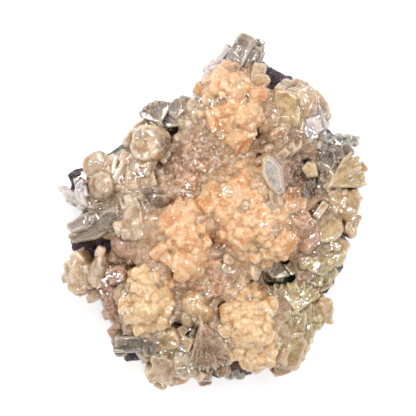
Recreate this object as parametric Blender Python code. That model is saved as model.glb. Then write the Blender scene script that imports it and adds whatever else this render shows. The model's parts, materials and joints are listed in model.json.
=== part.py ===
# Stellerite with heulandite on basalt, a loose mineral specimen that lies on its flat back.
#
# The crystal side faces up (+Z). Seen from above, +Y is the specimen's peak and +X its right.
# Places in the tables below are millimetres from the middle of the specimen, and heights are
# millimetres above the surface it rests on. Every crystal is a stack of rings that starts at
# its end face and runs back along its own growing direction into the rock.

import math
import random

import bmesh
import bpy
from mathutils import Euler, Matrix, Vector, noise
from mathutils.bvhtree import BVHTree

# Driving dimensions, in millimetres and degrees
MM = 0.001
RIM_HEIGHT = 11.0
CROWN_RISE = 11.5
GAP = 0.42
BED_GAP = 0.7
BED_THICKNESS = 2.6
BED_ROOT = 1.0
ROOT_DEPTH = 1.4
LEAST_DEPTH = 2.0
LEAST_BODY = 0.8
RIM_RADIUS = 50.0
LEAN_AT_RIM = 26.0
STUD_HEIGHT = (0.3, 1.5)
SHAFT_HEIGHT = 40.0

# The rock's surface: how steeply it falls to the rim, and its grain
CROWN_FALL = 2.4
ROCK_ROUGHNESS = 0.9
ROUGHNESS_SCALE = 0.5
ROCK_CHIPPING = 0.022
CHIP_SCALE = 0.35
BED_UNEVENNESS = 0.5

# The crystals' habit, as shares of a crystal's own size
FULLNESS = 1.14
LEAN_GROWTH = 1.5
BLADE_MIDDLE = 0.46
BLADE_FOOT = 0.86
SHORTER_BLADE = 0.10
BLADE_DIP_STEP = 2.5
BLADE_DROP = 0.45

# The druse mounds: their waves, and the small crystals raised on them
MOUND_WAVES = 0.22
WAVE_SCALE = 2.4
MOUND_JITTER = 0.05
STEEPEST_STUD = 0.12
STUD_GROOVE = 0.10
STUD_EVENNESS = 0.7
PAIRING_ANGLE = 1.0
PAIRING_SHAPE = 2.5

# Fineness: segments, the angle that counts as flat, and shares of faces to try to keep
ROCK_SEGMENTS = 48
BED_SEGMENTS = 40
FLAT_ANGLE = 0.004
FACES_KEPT = (0.40, 0.44, 0.48, 0.52, 0.6, 0.7, 0.8, 0.9)
DRUSE_FACES_KEPT = (0.34, 0.37, 0.40, 0.43, 0.46, 0.5, 0.6, 0.7, 0.8)

# Reach of the rock from its middle: angle in degrees from +X, then millimetres
ROCK_REACH = [
    (0, 41), (10, 41), (20, 42), (30, 44), (37, 44.2), (45, 43), (52, 43.5), (58, 48), (64, 47.4),
    (70, 48.4), (77, 50.6), (82, 53.6), (86, 51), (90, 42.5), (95, 38), (100, 33), (110, 32),
    (120, 33), (130, 34.5), (140, 33.7), (149, 36.4), (156, 38.6), (162, 45.8), (169, 46.0),
    (176, 41), (181, 39.5), (186, 44.6), (196, 45.6), (204, 45.0), (212, 43), (221, 42),
    (230, 44.5), (236, 50.6), (243, 54.2), (249, 49), (260, 48.6), (269, 51), (279, 52.2),
    (288, 50.4), (297, 49.8), (304, 46), (312, 43.5), (320, 41.2), (326, 42.6), (333, 43.6),
    (342, 43.4), (350, 41),
]

# Hollows and humps of the rock's crystal side: x, y, radius, rise
ROCK_RELIEF = [
    (-15.5, 24, 4.5, -4.5), (-10.5, 25.5, 3.0, -3.0), (-37, -11, 7.0, -3.5), (19, -19.5, 6.0, -4.0),
    (21, 40.5, 6.0, 3.5), (7.5, -47.5, 4.0, 2.0), (31.5, 12, 3.0, -3.0), (-42, 11.5, 3.5, 3.0),
    (-24.5, -45, 4.0, 1.5), (8.5, 43, 3.0, -2.0), (-11, -33, 4.0, -2.0), (1, -30, 3.5, -2.5),
    (37, 22, 3.0, 2.5), (36.5, -17, 4.0, -1.5),
]

# Rings from the top middle to the bottom middle: share of the reach, then a height. A ring
# with a word lies on the rock's crystal side: "rock" on it, "crust" above it, "under" below it.
ROCK_RINGS = [
    (0.0, "rock"), (0.25, "rock"), (0.46, "rock"), (0.64, "rock"), (0.79, "rock"), (0.90, "rock"),
    (0.97, "rock"), (1.0, 7.2), (0.96, 3.4), (0.88, 0.9), (0.80, 0.0), (0.0, 0.0),
]
BED_RINGS = [
    (0.0, "crust"), (0.24, "crust"), (0.45, "crust"), (0.63, "crust"), (0.79, "crust"),
    (0.90, "crust"), (0.955, "rock"), (0.90, "under"), (0.50, "under"), (0.0, "under"),
]

# Where bare basalt shows through the bed: x, y, radius
BARE_PLACES = [
    (20.5, 41.5, 5.6), (17.5, 45.5, 3.0), (34.5, 25.5, 2.6), (31.6, 12.0, 1.8), (-37.5, -11.0, 4.2),
    (-32.8, -10.2, 2.6), (-15.2, 24.4, 2.8), (-14.0, 19.8, 1.7), (-42.0, 11.5, 3.4),
    (20.5, -18.8, 4.6), (6.6, -47.6, 3.0), (-24.5, -45.6, 3.2), (17.6, -46.8, 1.7),
    (38.6, -17.0, 2.8), (-43.0, -5.4, 2.6), (9.0, 43.3, 1.8),
]

# Colours by eye, linear values
COLOURS = {
    "basalt": (0.045, 0.030, 0.036),
    "stellerite_orange": (0.86, 0.52, 0.27),
    "stellerite_yellow": (0.84, 0.60, 0.33),
    "stellerite_pink": (0.54, 0.34, 0.23),
    "stellerite_brown": (0.40, 0.27, 0.19),
    "heulandite_cream": (0.72, 0.55, 0.38),
    "heulandite_tan": (0.58, 0.44, 0.27),
    "heulandite_grey": (0.48, 0.42, 0.34),
    "heulandite_mauve": (0.32, 0.23, 0.19),
    "heulandite_pearl": (0.82, 0.78, 0.78),
    "heulandite_olive": (0.46, 0.42, 0.25),
    "celadonite": (0.16, 0.20, 0.15),
}


def clear_scene():
    """Remove the objects that a new file brings."""
    for item in list(bpy.data.objects):
        bpy.data.objects.remove(item, do_unlink=True)


def new_collection(name):
    collection = bpy.data.collections.new(name)
    bpy.context.scene.collection.children.link(collection)
    return collection


def surface_colour(slot):
    """A plain surface in the colour of one slot."""
    material = bpy.data.materials.new(slot)
    material.use_nodes = True
    shader = material.node_tree.nodes["Principled BSDF"]
    shader.inputs["Base Color"].default_value = (*COLOURS[slot], 1.0)
    shader.inputs["Roughness"].default_value = 0.85 if slot == "basalt" else 0.35
    shader.inputs["Metallic"].default_value = 0.0
    return material


def reach_towards(angle):
    """The rock's reach at an angle in degrees, read between the listed ones."""
    angle = angle % 360.0
    closed = ROCK_REACH + [(360 + ROCK_REACH[0][0], ROCK_REACH[0][1])]
    for (start, near), (end, far) in zip(closed, closed[1:]):
        if start <= angle <= end:
            share = (angle - start) / (end - start)
            return near + (far - near) * share
    return closed[0][1]


def ground(x, y):
    """Height of the rock's crystal side over a place."""
    share = min(1.0, math.hypot(x, y) / reach_towards(math.degrees(math.atan2(y, x))))
    height = RIM_HEIGHT + CROWN_RISE * (1.0 - share ** CROWN_FALL)
    for centre_x, centre_y, radius, rise in ROCK_RELIEF:
        distance = math.hypot(x - centre_x, y - centre_y) / radius
        height += rise * math.exp(-distance * distance)
    return height


def rock_top(x, y):
    """The crystal side with its roughness."""
    return ground(x, y) + ROCK_ROUGHNESS * noise.noise(Vector((x, y, 0.0)) * ROUGHNESS_SCALE)


def layer(name, rings, segments, swell=0.0):
    """A round cage whose rings are moved to the outline, the walls, the top and the back."""
    cage = bmesh.new()
    ring_count = len(rings) - 1
    bmesh.ops.create_uvsphere(cage, u_segments=segments, v_segments=ring_count, radius=1.0)
    for corner in cage.verts:
        tilt = math.acos(max(-1.0, min(1.0, corner.co.z)))
        share, height = rings[round(tilt / math.pi * ring_count)]
        angle = math.atan2(corner.co.y, corner.co.x) if share > 0.0 else 0.0
        reach = reach_towards(math.degrees(angle)) * share
        place = Vector((reach * math.cos(angle), reach * math.sin(angle), 0.0))
        chip = noise.noise(place * CHIP_SCALE)
        place *= 1.0 + ROCK_CHIPPING * chip * share
        if height == "rock":
            place.z = rock_top(place.x, place.y)
        elif height == "crust":
            thickness = BED_THICKNESS * (1.0 + BED_UNEVENNESS * chip)
            place.z = rock_top(place.x, place.y) + thickness
        elif height == "under":
            place.z = rock_top(place.x, place.y) - BED_ROOT
        elif height > 0.0:
            place.z = height + ROCK_ROUGHNESS * chip
        corner.co = place
    cage.normal_update()
    for corner, normal in [(corner, corner.normal.copy()) for corner in cage.verts]:
        corner.co += normal * swell
    return finish_cage(cage, name, Vector((0, 0, 0)), Euler((0, 0, 0)))


def rock(name, swell=0.0):
    """The basalt, broken flat at its back."""
    return layer(name, ROCK_RINGS, ROCK_SEGMENTS, swell)


def bed(name, swell=0.0):
    """The thin druse that covers the rock between the larger crystals."""
    return layer(name, BED_RINGS, BED_SEGMENTS, swell)


def finish_cage(cage, name, place, turn):
    """Turn a cage in millimetres into an object that is placed by location and rotation."""
    bmesh.ops.triangulate(cage, faces=cage.faces)
    bmesh.ops.scale(cage, vec=(MM, MM, MM), verts=cage.verts)
    bmesh.ops.recalc_face_normals(cage, faces=cage.faces)
    mesh = bpy.data.meshes.new(name)
    cage.to_mesh(mesh)
    cage.free()
    item = bpy.data.objects.new(name, mesh)
    item.location = place * MM
    item.rotation_euler = turn
    return item


# Cross-sections as unit outlines, one unit wide and one unit long
OUTLINES = {
    "block": [(0.5, 0.28), (0.30, 0.5), (-0.48, 0.47), (-0.5, -0.30), (-0.30, -0.5), (0.47, -0.48)],
    "knob": [(0.5, 0.5), (-0.5, 0.5), (-0.5, -0.5), (0.5, -0.5)],
    "coffin": [(0.5, 0.10), (0.28, 0.42), (0.06, 0.5), (-0.20, 0.48),
               (-0.5, 0.12), (-0.40, -0.24), (-0.12, -0.5), (0.22, -0.46)],
    "blade": [(0.5, 0.05), (0.06, 0.5), (-0.36, 0.33), (-0.5, -0.06), (-0.28, -0.5), (0.28, -0.5)],
    "wedge": [(0.5, 0.32), (0.04, 0.5), (-0.5, 0.33), (-0.16, -0.5), (0.16, -0.5)],
    "crescent": [(0.30, 0.5), (-0.30, 0.30), (-0.50, -0.06), (-0.24, -0.42), (0.12, -0.5),
                 (0.16, 0.02)],
}
ROUND_SIDES = 7


def round_outline(sides=ROUND_SIDES):
    turn = 2.0 * math.pi / sides
    return [(0.5 * math.cos(turn * i), 0.5 * math.sin(turn * i)) for i in range(sides)]


OUTLINES["round"] = round_outline()
OUTLINES["hexagon"] = round_outline(6)

# Ends of a crystal, from its end face back: how far back, as a share of its half width, and
# how wide the crystal is there, as a share of its full width
ENDS = {
    "flat": [(0.0, 0.72), (0.26, 1.0)],
    "sharp": [(0.0, 0.90), (0.10, 1.0)],
    "plain": [(0.0, 1.0)],
    "dome": [(0.0, 0.46), (0.26, 0.82), (0.70, 1.0)],
    "bulge": [(0.0, 0.58), (0.22, 0.86), (0.75, 1.0)],
}


class Crystal:
    """One crystal: where its end face is, how big it is, and which way it grew."""

    def __init__(self, x, y, top, wide, long, turn=0.0, outline="block", end="flat",
                 lean=None, toward=None, deep=None, foot=0.9):
        distance = min(1.0, math.hypot(x, y) / RIM_RADIUS)
        self.place = Vector((x, y, top))
        self.wide = wide * FULLNESS
        self.long = long * FULLNESS
        self.turn = turn
        self.outline = OUTLINES[outline]
        self.end = ENDS[end]
        self.lean = LEAN_AT_RIM * distance ** LEAN_GROWTH if lean is None else lean
        self.toward = math.degrees(math.atan2(y, x)) if toward is None else toward
        self.foot = foot
        fall = (top - ground(x, y)) / math.cos(math.radians(self.lean))
        self.deep = max(LEAST_DEPTH, fall + ROOT_DEPTH) if deep is None else deep

    def rotation(self):
        """Turned about its own axis first, then leaned over towards its side."""
        spin = Matrix.Rotation(math.radians(self.turn), 3, "Z")
        aim = math.radians(self.toward)
        hinge = Vector((-math.sin(aim), math.cos(aim), 0.0))
        return (Matrix.Rotation(math.radians(self.lean), 3, hinge) @ spin).to_euler()

    def solid(self, name, margin=0.0):
        """The outline, extruded ring by ring from the foot up to the end face."""
        half = 0.25 * (self.wide + self.long)
        rings = [(drop * half, scale) for drop, scale in self.end]
        rings.append((max(self.deep, rings[-1][0] + LEAST_BODY) + margin, self.foot))
        rings[0] = (rings[0][0] - margin, rings[0][1])
        wide = self.wide + 2.0 * margin
        long = self.long + 2.0 * margin
        drop, scale = rings[-1]
        cage = bmesh.new()
        corners = [
            cage.verts.new((u * wide * scale, v * long * scale, -drop))
            for u, v in self.outline
        ]
        foot_face = bmesh.ops.contextual_create(cage, geom=corners)["faces"][0]
        face = foot_face
        for next_drop, next_scale in reversed(rings[:-1]):
            grown = bmesh.ops.extrude_face_region(cage, geom=[face])["geom"]
            if face is not foot_face:
                bmesh.ops.delete(cage, geom=[face], context="FACES_ONLY")
            face = [part for part in grown if isinstance(part, bmesh.types.BMFace)][0]
            ratio = next_scale / scale
            bmesh.ops.scale(cage, vec=(ratio, ratio, 1.0), verts=face.verts)
            bmesh.ops.translate(cage, vec=(0.0, 0.0, drop - next_drop), verts=face.verts)
            drop, scale = next_drop, next_scale
        return finish_cage(cage, name, self.place, self.rotation())


def block(x, y, top, wide, long, turn=0.0, **ways):
    """A blocky crystal with trimmed corners and a flat end."""
    return Crystal(x, y, top, wide, long, turn, "block", "flat", **ways)


def slab(x, y, top, wide, long, turn=0.0, **ways):
    """A sharp four-cornered plate or prism."""
    return Crystal(x, y, top, wide, long, turn, "knob", "sharp", **ways)


def lump(x, y, top, wide, long, turn=0.0, **ways):
    """A rounded crystal with a domed end."""
    return Crystal(x, y, top, wide, long, turn, "round", "dome", **ways)


def barrel(x, y, top, wide, long, turn=0.0, **ways):
    """A six-sided crystal that bulges between its ends."""
    return Crystal(x, y, top, wide, long, turn, "hexagon", "bulge", **ways)


def plate(x, y, top, wide, long, turn=0.0, outline="coffin", **ways):
    """A flat crystal that shows its broad face."""
    return Crystal(x, y, top, wide, long, turn, outline, "flat", **ways)


def fan(x, y, top, reach, first, last, count, wide, dip=12.0, deep=7.0):
    """Blades that spread from one root, with their tips along an arc."""
    blades = []
    for number in range(count):
        angle = first + (last - first) * (number + 0.5) / count
        long = reach * (1.0 - SHORTER_BLADE * (number % 2))
        along = Vector((math.cos(math.radians(angle)), math.sin(math.radians(angle))))
        middle = Vector((x, y)) + along * BLADE_MIDDLE * long
        blade_dip = dip + BLADE_DIP_STEP * (number % 3)
        height = top - 0.5 * long * math.sin(math.radians(dip)) - BLADE_DROP * (number % 2)
        blades.append(Crystal(middle.x, middle.y, height, wide, long, angle - 90.0, "wedge",
                              "plain", lean=blade_dip, toward=angle, deep=deep,
                              foot=BLADE_FOOT))
    return blades


class Mound:
    """A dome of druse with reaches given all round from +X, studded with small crystals."""

    def __init__(self, x, y, top, rise, reaches, seed, studs=0.8, detail=3):
        self.place = Vector((x, y, top - rise))
        self.rise = rise
        self.reaches = reaches
        self.seed = seed
        self.studs = studs
        self.detail = detail
        self.deep = max(LEAST_DEPTH, top - rise - ground(x, y) + 3.0 * ROOT_DEPTH)

    def reach(self, angle):
        step = (angle / (2.0 * math.pi)) % 1.0 * len(self.reaches)
        near = int(step) % len(self.reaches)
        after = self.reaches[(near + 1) % len(self.reaches)]
        return self.reaches[near] + (after - self.reaches[near]) * (step % 1.0)

    def solid(self, name, margin=0.0):
        """The studded dome or, for a margin, the bare dome just outside its studs."""
        chance = random.Random(self.seed)
        swell = margin + STUD_HEIGHT[1] if margin else 0.0
        cage = bmesh.new()
        bmesh.ops.create_icosphere(cage, subdivisions=self.detail, radius=1.0)
        spin = Euler([chance.uniform(0.0, math.pi) for _ in range(3)]).to_matrix()
        bmesh.ops.rotate(cage, cent=(0.0, 0.0, 0.0), matrix=spin, verts=cage.verts)
        for corner in cage.verts:
            shift = Vector([chance.uniform(-MOUND_JITTER, MOUND_JITTER) for _ in range(3)])
            unit = (corner.co + shift).normalized()
            swirl = noise.noise(unit * WAVE_SCALE + Vector((self.seed, 0.0, 0.0)))
            wave = 1.0 + MOUND_WAVES * swirl
            reach = self.reach(math.atan2(unit.y, unit.x)) * wave + swell
            height = unit.z * (self.rise * wave + swell if unit.z > 0.0 else self.deep)
            corner.co = Vector((unit.x * reach, unit.y * reach, height))
        if not margin:
            self.raise_studs(cage, chance)
        return finish_cage(cage, name, self.place, Euler((0, 0, 0)))

    def raise_studs(self, cage, chance):
        """Pair the dome's triangles and lift most faces, each as one small crystal."""
        bmesh.ops.join_triangles(cage, faces=cage.faces, angle_face_threshold=PAIRING_ANGLE,
                                 angle_shape_threshold=PAIRING_SHAPE)
        cage.normal_update()
        faces = [face for face in cage.faces if face.normal.z > STEEPEST_STUD]
        faces = [face for face in faces if chance.random() < self.studs]
        width = math.sqrt(sum(face.calc_area() for face in faces) / len(faces))
        bmesh.ops.inset_individual(cage, faces=faces, thickness=STUD_GROOVE * width, depth=0.0)
        for face in faces:
            normal = face.normal.copy()
            lift = chance.uniform(*STUD_HEIGHT)
            for corner in face.verts:
                corner.co += normal * lift * chance.uniform(STUD_EVENNESS, 1.0)


def cap_top():
    """The grey glassy block at the peak: two broad faces that meet on a ridge."""
    return [
        block(6.6, 47.3, 27.5, 7.4, 8.4, -12, lean=38, toward=190, deep=12),
        block(11.6, 49.2, 22.5, 4.8, 4.2, -30, lean=14),
        block(6.4, 50.8, 21.0, 3.4, 3.0, 20, lean=14),
        slab(14.0, 47.6, 20.5, 2.2, 4.2, -25, lean=14),
    ]


def plates_top_left():
    """Edge-on plates and cream blocks down the left slope of the peak."""
    return [
        slab(2.2, 46.6, 21.0, 1.5, 7.2, -38),
        slab(0.7, 45.0, 20.0, 1.4, 6.0, -40),
        block(2.6, 42.4, 24.5, 6.6, 4.6, 15, lean=14),
        block(-0.6, 40.6, 23.5, 4.8, 5.0, -20),
        block(-1.8, 37.2, 22.5, 4.4, 3.6, 12),
        slab(-3.4, 38.2, 19.5, 1.3, 5.4, -18),
        block(-2.9, 34.9, 22.0, 3.4, 3.0, 40),
        slab(-1.4, 33.0, 25.0, 3.2, 1.6, 30),
        slab(-3.2, 32.2, 24.0, 2.4, 1.5, -25),
    ]


def wedges_top():
    """Cream wedges right of the top mound, with jagged tips, and pink blocks below them."""
    return [
        block(11.6, 42.6, 26.0, 4.6, 3.6, 20),
        slab(13.4, 41.4, 27.0, 3.4, 5.2, -18, lean=22, toward=20),
        plate(13.9, 38.6, 27.5, 4.6, 6.6, -78, "blade", lean=16, toward=15),
        plate(13.6, 35.2, 27.0, 4.2, 7.2, -104, "blade", lean=16, toward=-5),
        block(13.9, 30.9, 27.5, 5.4, 4.6, -12, lean=18, toward=-10),
        block(15.0, 27.2, 25.5, 4.8, 3.8, 30, lean=20, toward=-30),
        slab(12.2, 26.2, 25.0, 2.2, 3.0, -25, lean=30, toward=-60),
        slab(17.0, 25.2, 24.0, 1.6, 2.8, -50),
    ]


def balls_shoulder():
    """Grey, silver and pale cream crystals along the right shoulder."""
    return [
        lump(27.2, 33.6, 27.0, 8.8, 7.6, -25),
        block(23.8, 35.3, 24.5, 5.2, 4.2, 15),
        lump(22.4, 38.6, 21.0, 4.2, 4.0, 0),
        slab(25.6, 38.7, 19.5, 3.6, 2.6, -20),
        slab(28.6, 37.4, 18.5, 3.4, 2.2, -38),
        plate(33.0, 32.0, 18.5, 3.6, 7.8, 24, "blade", lean=12),
        block(20.0, 36.0, 22.0, 4.0, 3.0, 25),
    ]


def tan_shoulder():
    """The big tan crystal, with its smaller companion above."""
    return [
        block(22.4, 30.0, 27.0, 8.4, 10.2, -8, lean=10, toward=200),
        lump(19.0, 32.9, 24.5, 4.6, 4.8, 20),
        slab(18.6, 28.4, 25.0, 2.0, 5.0, -12),
    ]


def glassy_shoulder():
    """The curved glassy crystal, and the broad lilac face that leans away from it."""
    return [
        plate(28.6, 24.2, 24.0, 5.4, 7.6, -16, lean=20, toward=-150),
        block(31.4, 28.6, 21.0, 4.6, 7.0, 16),
        block(30.6, 23.2, 20.5, 4.0, 5.0, -25),
        slab(32.6, 27.4, 18.5, 1.4, 7.2, 6),
        block(27.4, 20.0, 22.0, 4.4, 3.2, -20),
    ]


def golden_ball():
    """The golden crystal below the tan one."""
    return [
        lump(19.9, 23.6, 26.5, 6.8, 4.6, 22),
        lump(22.6, 25.0, 25.0, 4.0, 3.6, 0),
        lump(17.9, 22.6, 25.0, 3.2, 3.0, 0),
    ]


def ledge_upper_left():
    """Cream-pink lumps that step down left of the top mound."""
    return [
        lump(-5.6, 32.0, 23.5, 5.6, 5.2, 30),
        lump(-3.6, 28.6, 26.0, 5.6, 5.4, 0),
        lump(-6.6, 27.2, 24.5, 4.6, 5.0, -25),
        lump(-8.6, 29.8, 22.0, 4.4, 6.0, 15),
        block(-2.4, 25.2, 26.5, 3.0, 2.4, 30),
    ]


def fan_upper_left():
    """The grey translucent fan on the upper left rim, with a striated block beside it."""
    return fan(-16.0, 26.8, 24.0, 7.4, 158, 62, 6, 3.2, dip=18) + [
        plate(-10.6, 31.6, 22.5, 4.6, 6.2, -28, "blade", lean=22, toward=110),
        slab(-8.6, 33.0, 20.5, 3.4, 3.4, -15),
        block(-12.6, 28.2, 22.5, 4.6, 4.6, 10),
    ]


def ball_left():
    """The cream ball with ray striations."""
    return [
        lump(-19.6, 21.2, 29.0, 12.4, 10.6, 25, lean=14),
        block(-24.3, 21.6, 22.5, 4.4, 5.2, -35),
        block(-15.6, 18.2, 25.5, 4.0, 4.6, 30),
        slab(-21.6, 26.2, 20.0, 4.0, 2.0, 30),
    ]


def cluster_left():
    """Cream-orange crystals and the edge-on silvery plates left of them."""
    return [
        block(-21.8, 14.2, 27.5, 6.6, 5.6, -12),
        block(-24.2, 10.6, 26.5, 4.6, 7.4, -8, lean=12, toward=150),
        block(-20.4, 10.0, 26.0, 4.8, 5.0, 20),
        slab(-29.9, 13.4, 23.0, 1.2, 6.8, -12, lean=18, toward=160),
        slab(-28.5, 12.0, 23.8, 1.4, 6.4, -26, lean=16, toward=160),
        slab(-27.0, 9.6, 24.0, 2.6, 5.6, 10, lean=14, toward=170),
        slab(-26.2, 16.4, 24.0, 3.4, 3.0, -20),
        block(-24.2, 7.0, 24.5, 4.0, 3.6, 30),
        slab(-28.6, 16.0, 21.5, 2.0, 3.4, -35),
    ]


def block_far_left():
    """A rounded block on the far left: glassy above, opaque cream below."""
    return [
        lump(-34.3, 8.2, 25.0, 7.6, 8.4, 12),
        block(-36.2, 13.8, 22.0, 7.4, 6.2, 20, lean=26),
        block(-33.2, 13.6, 22.5, 4.4, 6.2, -16, lean=20),
        slab(-36.6, 16.2, 17.5, 4.4, 2.0, 22),
    ]


def crescent_left():
    """The white pearly crescent with a brown blade tip and a white lump."""
    return [
        plate(-39.6, 6.2, 20.5, 4.4, 8.0, 8, "crescent", lean=22, deep=8),
        plate(-43.4, 4.9, 14.5, 3.0, 6.8, 62, "blade", lean=28, deep=6),
        lump(-39.4, 2.4, 16.5, 4.4, 3.4, -20),
        lump(-36.6, 3.4, 19.0, 4.0, 3.4, 10),
    ]


def blades_left():
    """Three grey blades that lie side by side."""
    return [
        plate(-38.7, -2.6, 21.0, 4.6, 9.6, -62, "blade", lean=24, toward=150, deep=8),
        plate(-31.9, -2.7, 22.5, 6.4, 8.0, -68, "blade", lean=16, toward=200, deep=9),
        plate(-36.6, -6.4, 20.0, 4.4, 13.2, -73, "blade", lean=18, toward=215, deep=8),
        slab(-32.6, 1.0, 19.5, 2.4, 2.8, -30),
        slab(-29.6, 0.2, 20.5, 2.0, 3.6, 15),
    ]


def point_left():
    """The pointed cream blade and its rounded companion."""
    return [
        Crystal(-25.4, -0.6, 28.0, 6.4, 9.6, 8, "blade", "flat", lean=12, toward=200, deep=12),
        slab(-26.2, 3.0, 26.4, 2.6, 3.4, 12, lean=34, toward=98, deep=8),
        block(-20.6, -4.2, 27.5, 6.2, 7.4, -14, lean=10, toward=250),
        block(-23.8, -5.2, 26.5, 4.6, 5.2, 20),
    ]


def crust_left():
    """The tan crust below the point, with mauve glassy crystals above it."""
    return [
        lump(-27.6, -10.6, 23.5, 6.4, 7.6, 40),
        lump(-23.4, -9.2, 25.0, 6.6, 5.4, 0),
        lump(-19.4, -8.8, 26.0, 4.6, 4.6, 0),
        lump(-23.6, -13.2, 24.5, 6.0, 5.0, -20),
        lump(-18.6, -13.2, 25.5, 4.8, 5.6, 20),
        block(-15.3, -16.6, 26.5, 4.2, 4.0, 35),
        block(-17.6, -10.6, 26.8, 3.0, 2.6, 10),
    ]


def crystals_mauve_left():
    """Brown glassy crystals between the point and the pink crust."""
    return [
        block(-21.8, 3.6, 25.0, 4.6, 4.6, 25),
        block(-17.4, 2.6, 26.5, 5.2, 4.8, -15),
        block(-14.8, -0.6, 26.5, 3.6, 4.2, 35),
        lump(-18.6, 6.4, 26.0, 5.6, 3.6, 10),
        slab(-20.0, 0.0, 25.6, 3.2, 2.6, 40),
    ]


def mound_left():
    reaches = [7.0, 8.2, 10.6, 11.6, 10.2, 7.6, 6.8, 7.6, 9.6, 11.0, 10.8, 8.0]
    return [Mound(-9.2, -8.2, 34.0, 9.0, reaches, 3)]


def mound_centre():
    reaches = [15.6, 15.6, 14.8, 14.6, 14.8, 15.8, 15.2, 13.2, 11.6, 14.6, 15.6, 15.4]
    return [Mound(11.2, 0.0, 36.0, 11.0, reaches, 7)]


def mound_top():
    reaches = [8.6, 9.6, 11.2, 11.4, 10.4, 8.4, 7.6, 8.4, 9.6, 11.2, 11.0, 9.6]
    return [Mound(5.4, 31.6, 34.0, 10.0, reaches, 11)] + [
        block(7.4, 20.8, 28.0, 4.2, 3.6, -8),
    ]


def mound_lower_right():
    reaches = [8.4, 9.6, 12.0, 12.4, 10.8, 8.6, 8.0, 7.4, 8.4, 11.6, 11.4, 9.6]
    return [Mound(11.0, -35.2, 33.0, 10.0, reaches, 5)]


def mound_lower_left():
    reaches = [7.8, 8.2, 9.6, 10.4, 9.0, 7.6, 7.2, 7.8, 9.4, 9.6, 8.8, 8.2]
    return [Mound(-20.0, -26.2, 31.0, 9.0, reaches, 9)]


def crust_upper():
    """The pink-brown drusy crust in the saddle between the top and centre mounds."""
    reaches = [15.0, 12.6, 10.6, 9.6, 10.2, 12.0, 13.6, 12.2, 12.0, 12.0, 13.0, 14.6]
    return [Mound(0.0, 15.6, 26.5, 4.5, reaches, 13)]


def druse_low():
    """Pinkish druse below the centre."""
    reaches = [11.0, 10.0, 9.0, 9.0, 9.6, 10.4, 9.6, 8.0, 7.6, 7.6, 8.8, 10.0]
    return [Mound(-1.0, -19.0, 25.5, 4.0, reaches, 17)]


def coffin_centre():
    """The clear coffin-shaped crystal that stands on the centre mound."""
    return [
        plate(17.4, 11.0, 38.6, 5.6, 10.8, 21, lean=9, toward=160, deep=9, foot=0.96),
        block(18.4, 4.2, 36.8, 2.8, 4.4, 12),
    ]


def prisms_centre():
    """Small pale prisms and the rounded block beside the coffin crystal."""
    return [
        slab(19.9, 16.4, 30.5, 2.2, 4.8, -48, lean=24, toward=230),
        slab(22.4, 17.4, 29.5, 2.2, 5.0, -42, lean=24, toward=230),
        lump(17.0, 18.6, 27.5, 3.6, 3.2, 0),
        lump(20.6, 19.6, 26.5, 3.2, 3.0, 0),
        lump(24.2, 19.4, 25.0, 3.4, 3.0, 20),
    ]


def field_right():
    """Mottled purple-brown crystals in the shade right of the centre."""
    return [
        block(24.4, 14.2, 26.5, 5.6, 5.4, 20),
        block(27.4, 9.4, 26.0, 5.4, 5.6, -30),
        barrel(28.6, 12.9, 28.0, 4.6, 5.4, 30, lean=8, toward=120),
        block(24.2, 9.4, 26.5, 3.8, 5.2, 12),
        block(29.6, 5.2, 26.0, 5.4, 5.0, 10),
        block(33.6, 6.0, 24.5, 5.2, 5.6, -20),
        slab(32.0, 0.8, 28.0, 1.7, 4.4, -36, lean=18, toward=50),
        lump(26.2, 5.4, 26.5, 3.8, 4.0, 0),
        lump(31.2, 9.0, 23.5, 3.8, 3.6, 0),
    ]


def grey_right():
    """Grey-mauve crystals at the right."""
    return [
        block(33.4, 16.8, 23.5, 5.6, 5.8, -25),
        block(37.0, 18.2, 21.0, 5.4, 5.0, 20),
        block(35.8, 13.6, 22.0, 4.8, 4.6, 35),
        block(29.8, 17.4, 23.0, 4.4, 4.0, 10),
        slab(40.2, 18.6, 18.0, 3.4, 4.0, 40),
    ]


def celadonite_right():
    """Green-white druse on the right rim, with a thin lilac plate."""
    return [
        lump(35.0, 22.2, 19.0, 3.6, 3.2, 0),
        lump(38.0, 22.2, 18.0, 3.6, 3.0, 30),
        slab(36.4, 21.2, 19.5, 2.2, 2.2, 30),
        slab(42.2, 22.0, 15.8, 3.4, 2.0, -8, deep=4, lean=20),
        slab(40.4, 21.6, 16.6, 2.8, 2.8, 20),
    ]


def fan_right():
    """The striated fan whose tips give the right rim its teeth."""
    return fan(34.4, 7.8, 25.0, 12.8, 2, 58, 7, 3.3, dip=22, deep=8) + [
        slab(44.6, 13.0, 17.5, 2.6, 3.4, -50, lean=26),
    ]


def ledge_right():
    """The tan ledge that steps out below the fan."""
    return [
        block(40.6, 2.4, 22.5, 8.0, 8.4, -18, lean=24),
        block(42.4, -3.8, 19.0, 4.2, 5.6, -28, lean=28),
        slab(42.8, 4.8, 19.0, 3.0, 3.6, 30),
        block(36.8, 4.2, 24.0, 3.6, 4.4, 8),
    ]


def disc_right():
    """The disc-like tan crystal below the ledge, and the two blocks under it."""
    return [
        lump(35.2, -4.4, 26.0, 9.2, 8.2, -12, lean=16, foot=0.8),
        block(33.4, -9.8, 24.0, 4.6, 4.4, 10),
        block(38.4, -10.6, 20.5, 5.0, 4.6, -22),
        slab(36.4, -9.4, 23.0, 1.8, 3.8, 40),
    ]


def striated_right():
    """The pink cube and the lilac striated crystal below it."""
    return [
        block(25.2, -1.6, 32.5, 6.4, 4.6, -22, lean=14, toward=10, deep=9),
        plate(28.6, -7.4, 27.5, 5.0, 8.6, -32, "blade", lean=22, toward=150, deep=9),
        block(28.2, -3.8, 27.0, 3.2, 3.0, 30),
        block(29.8, -11.2, 24.5, 3.6, 4.2, -25),
    ]


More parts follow.
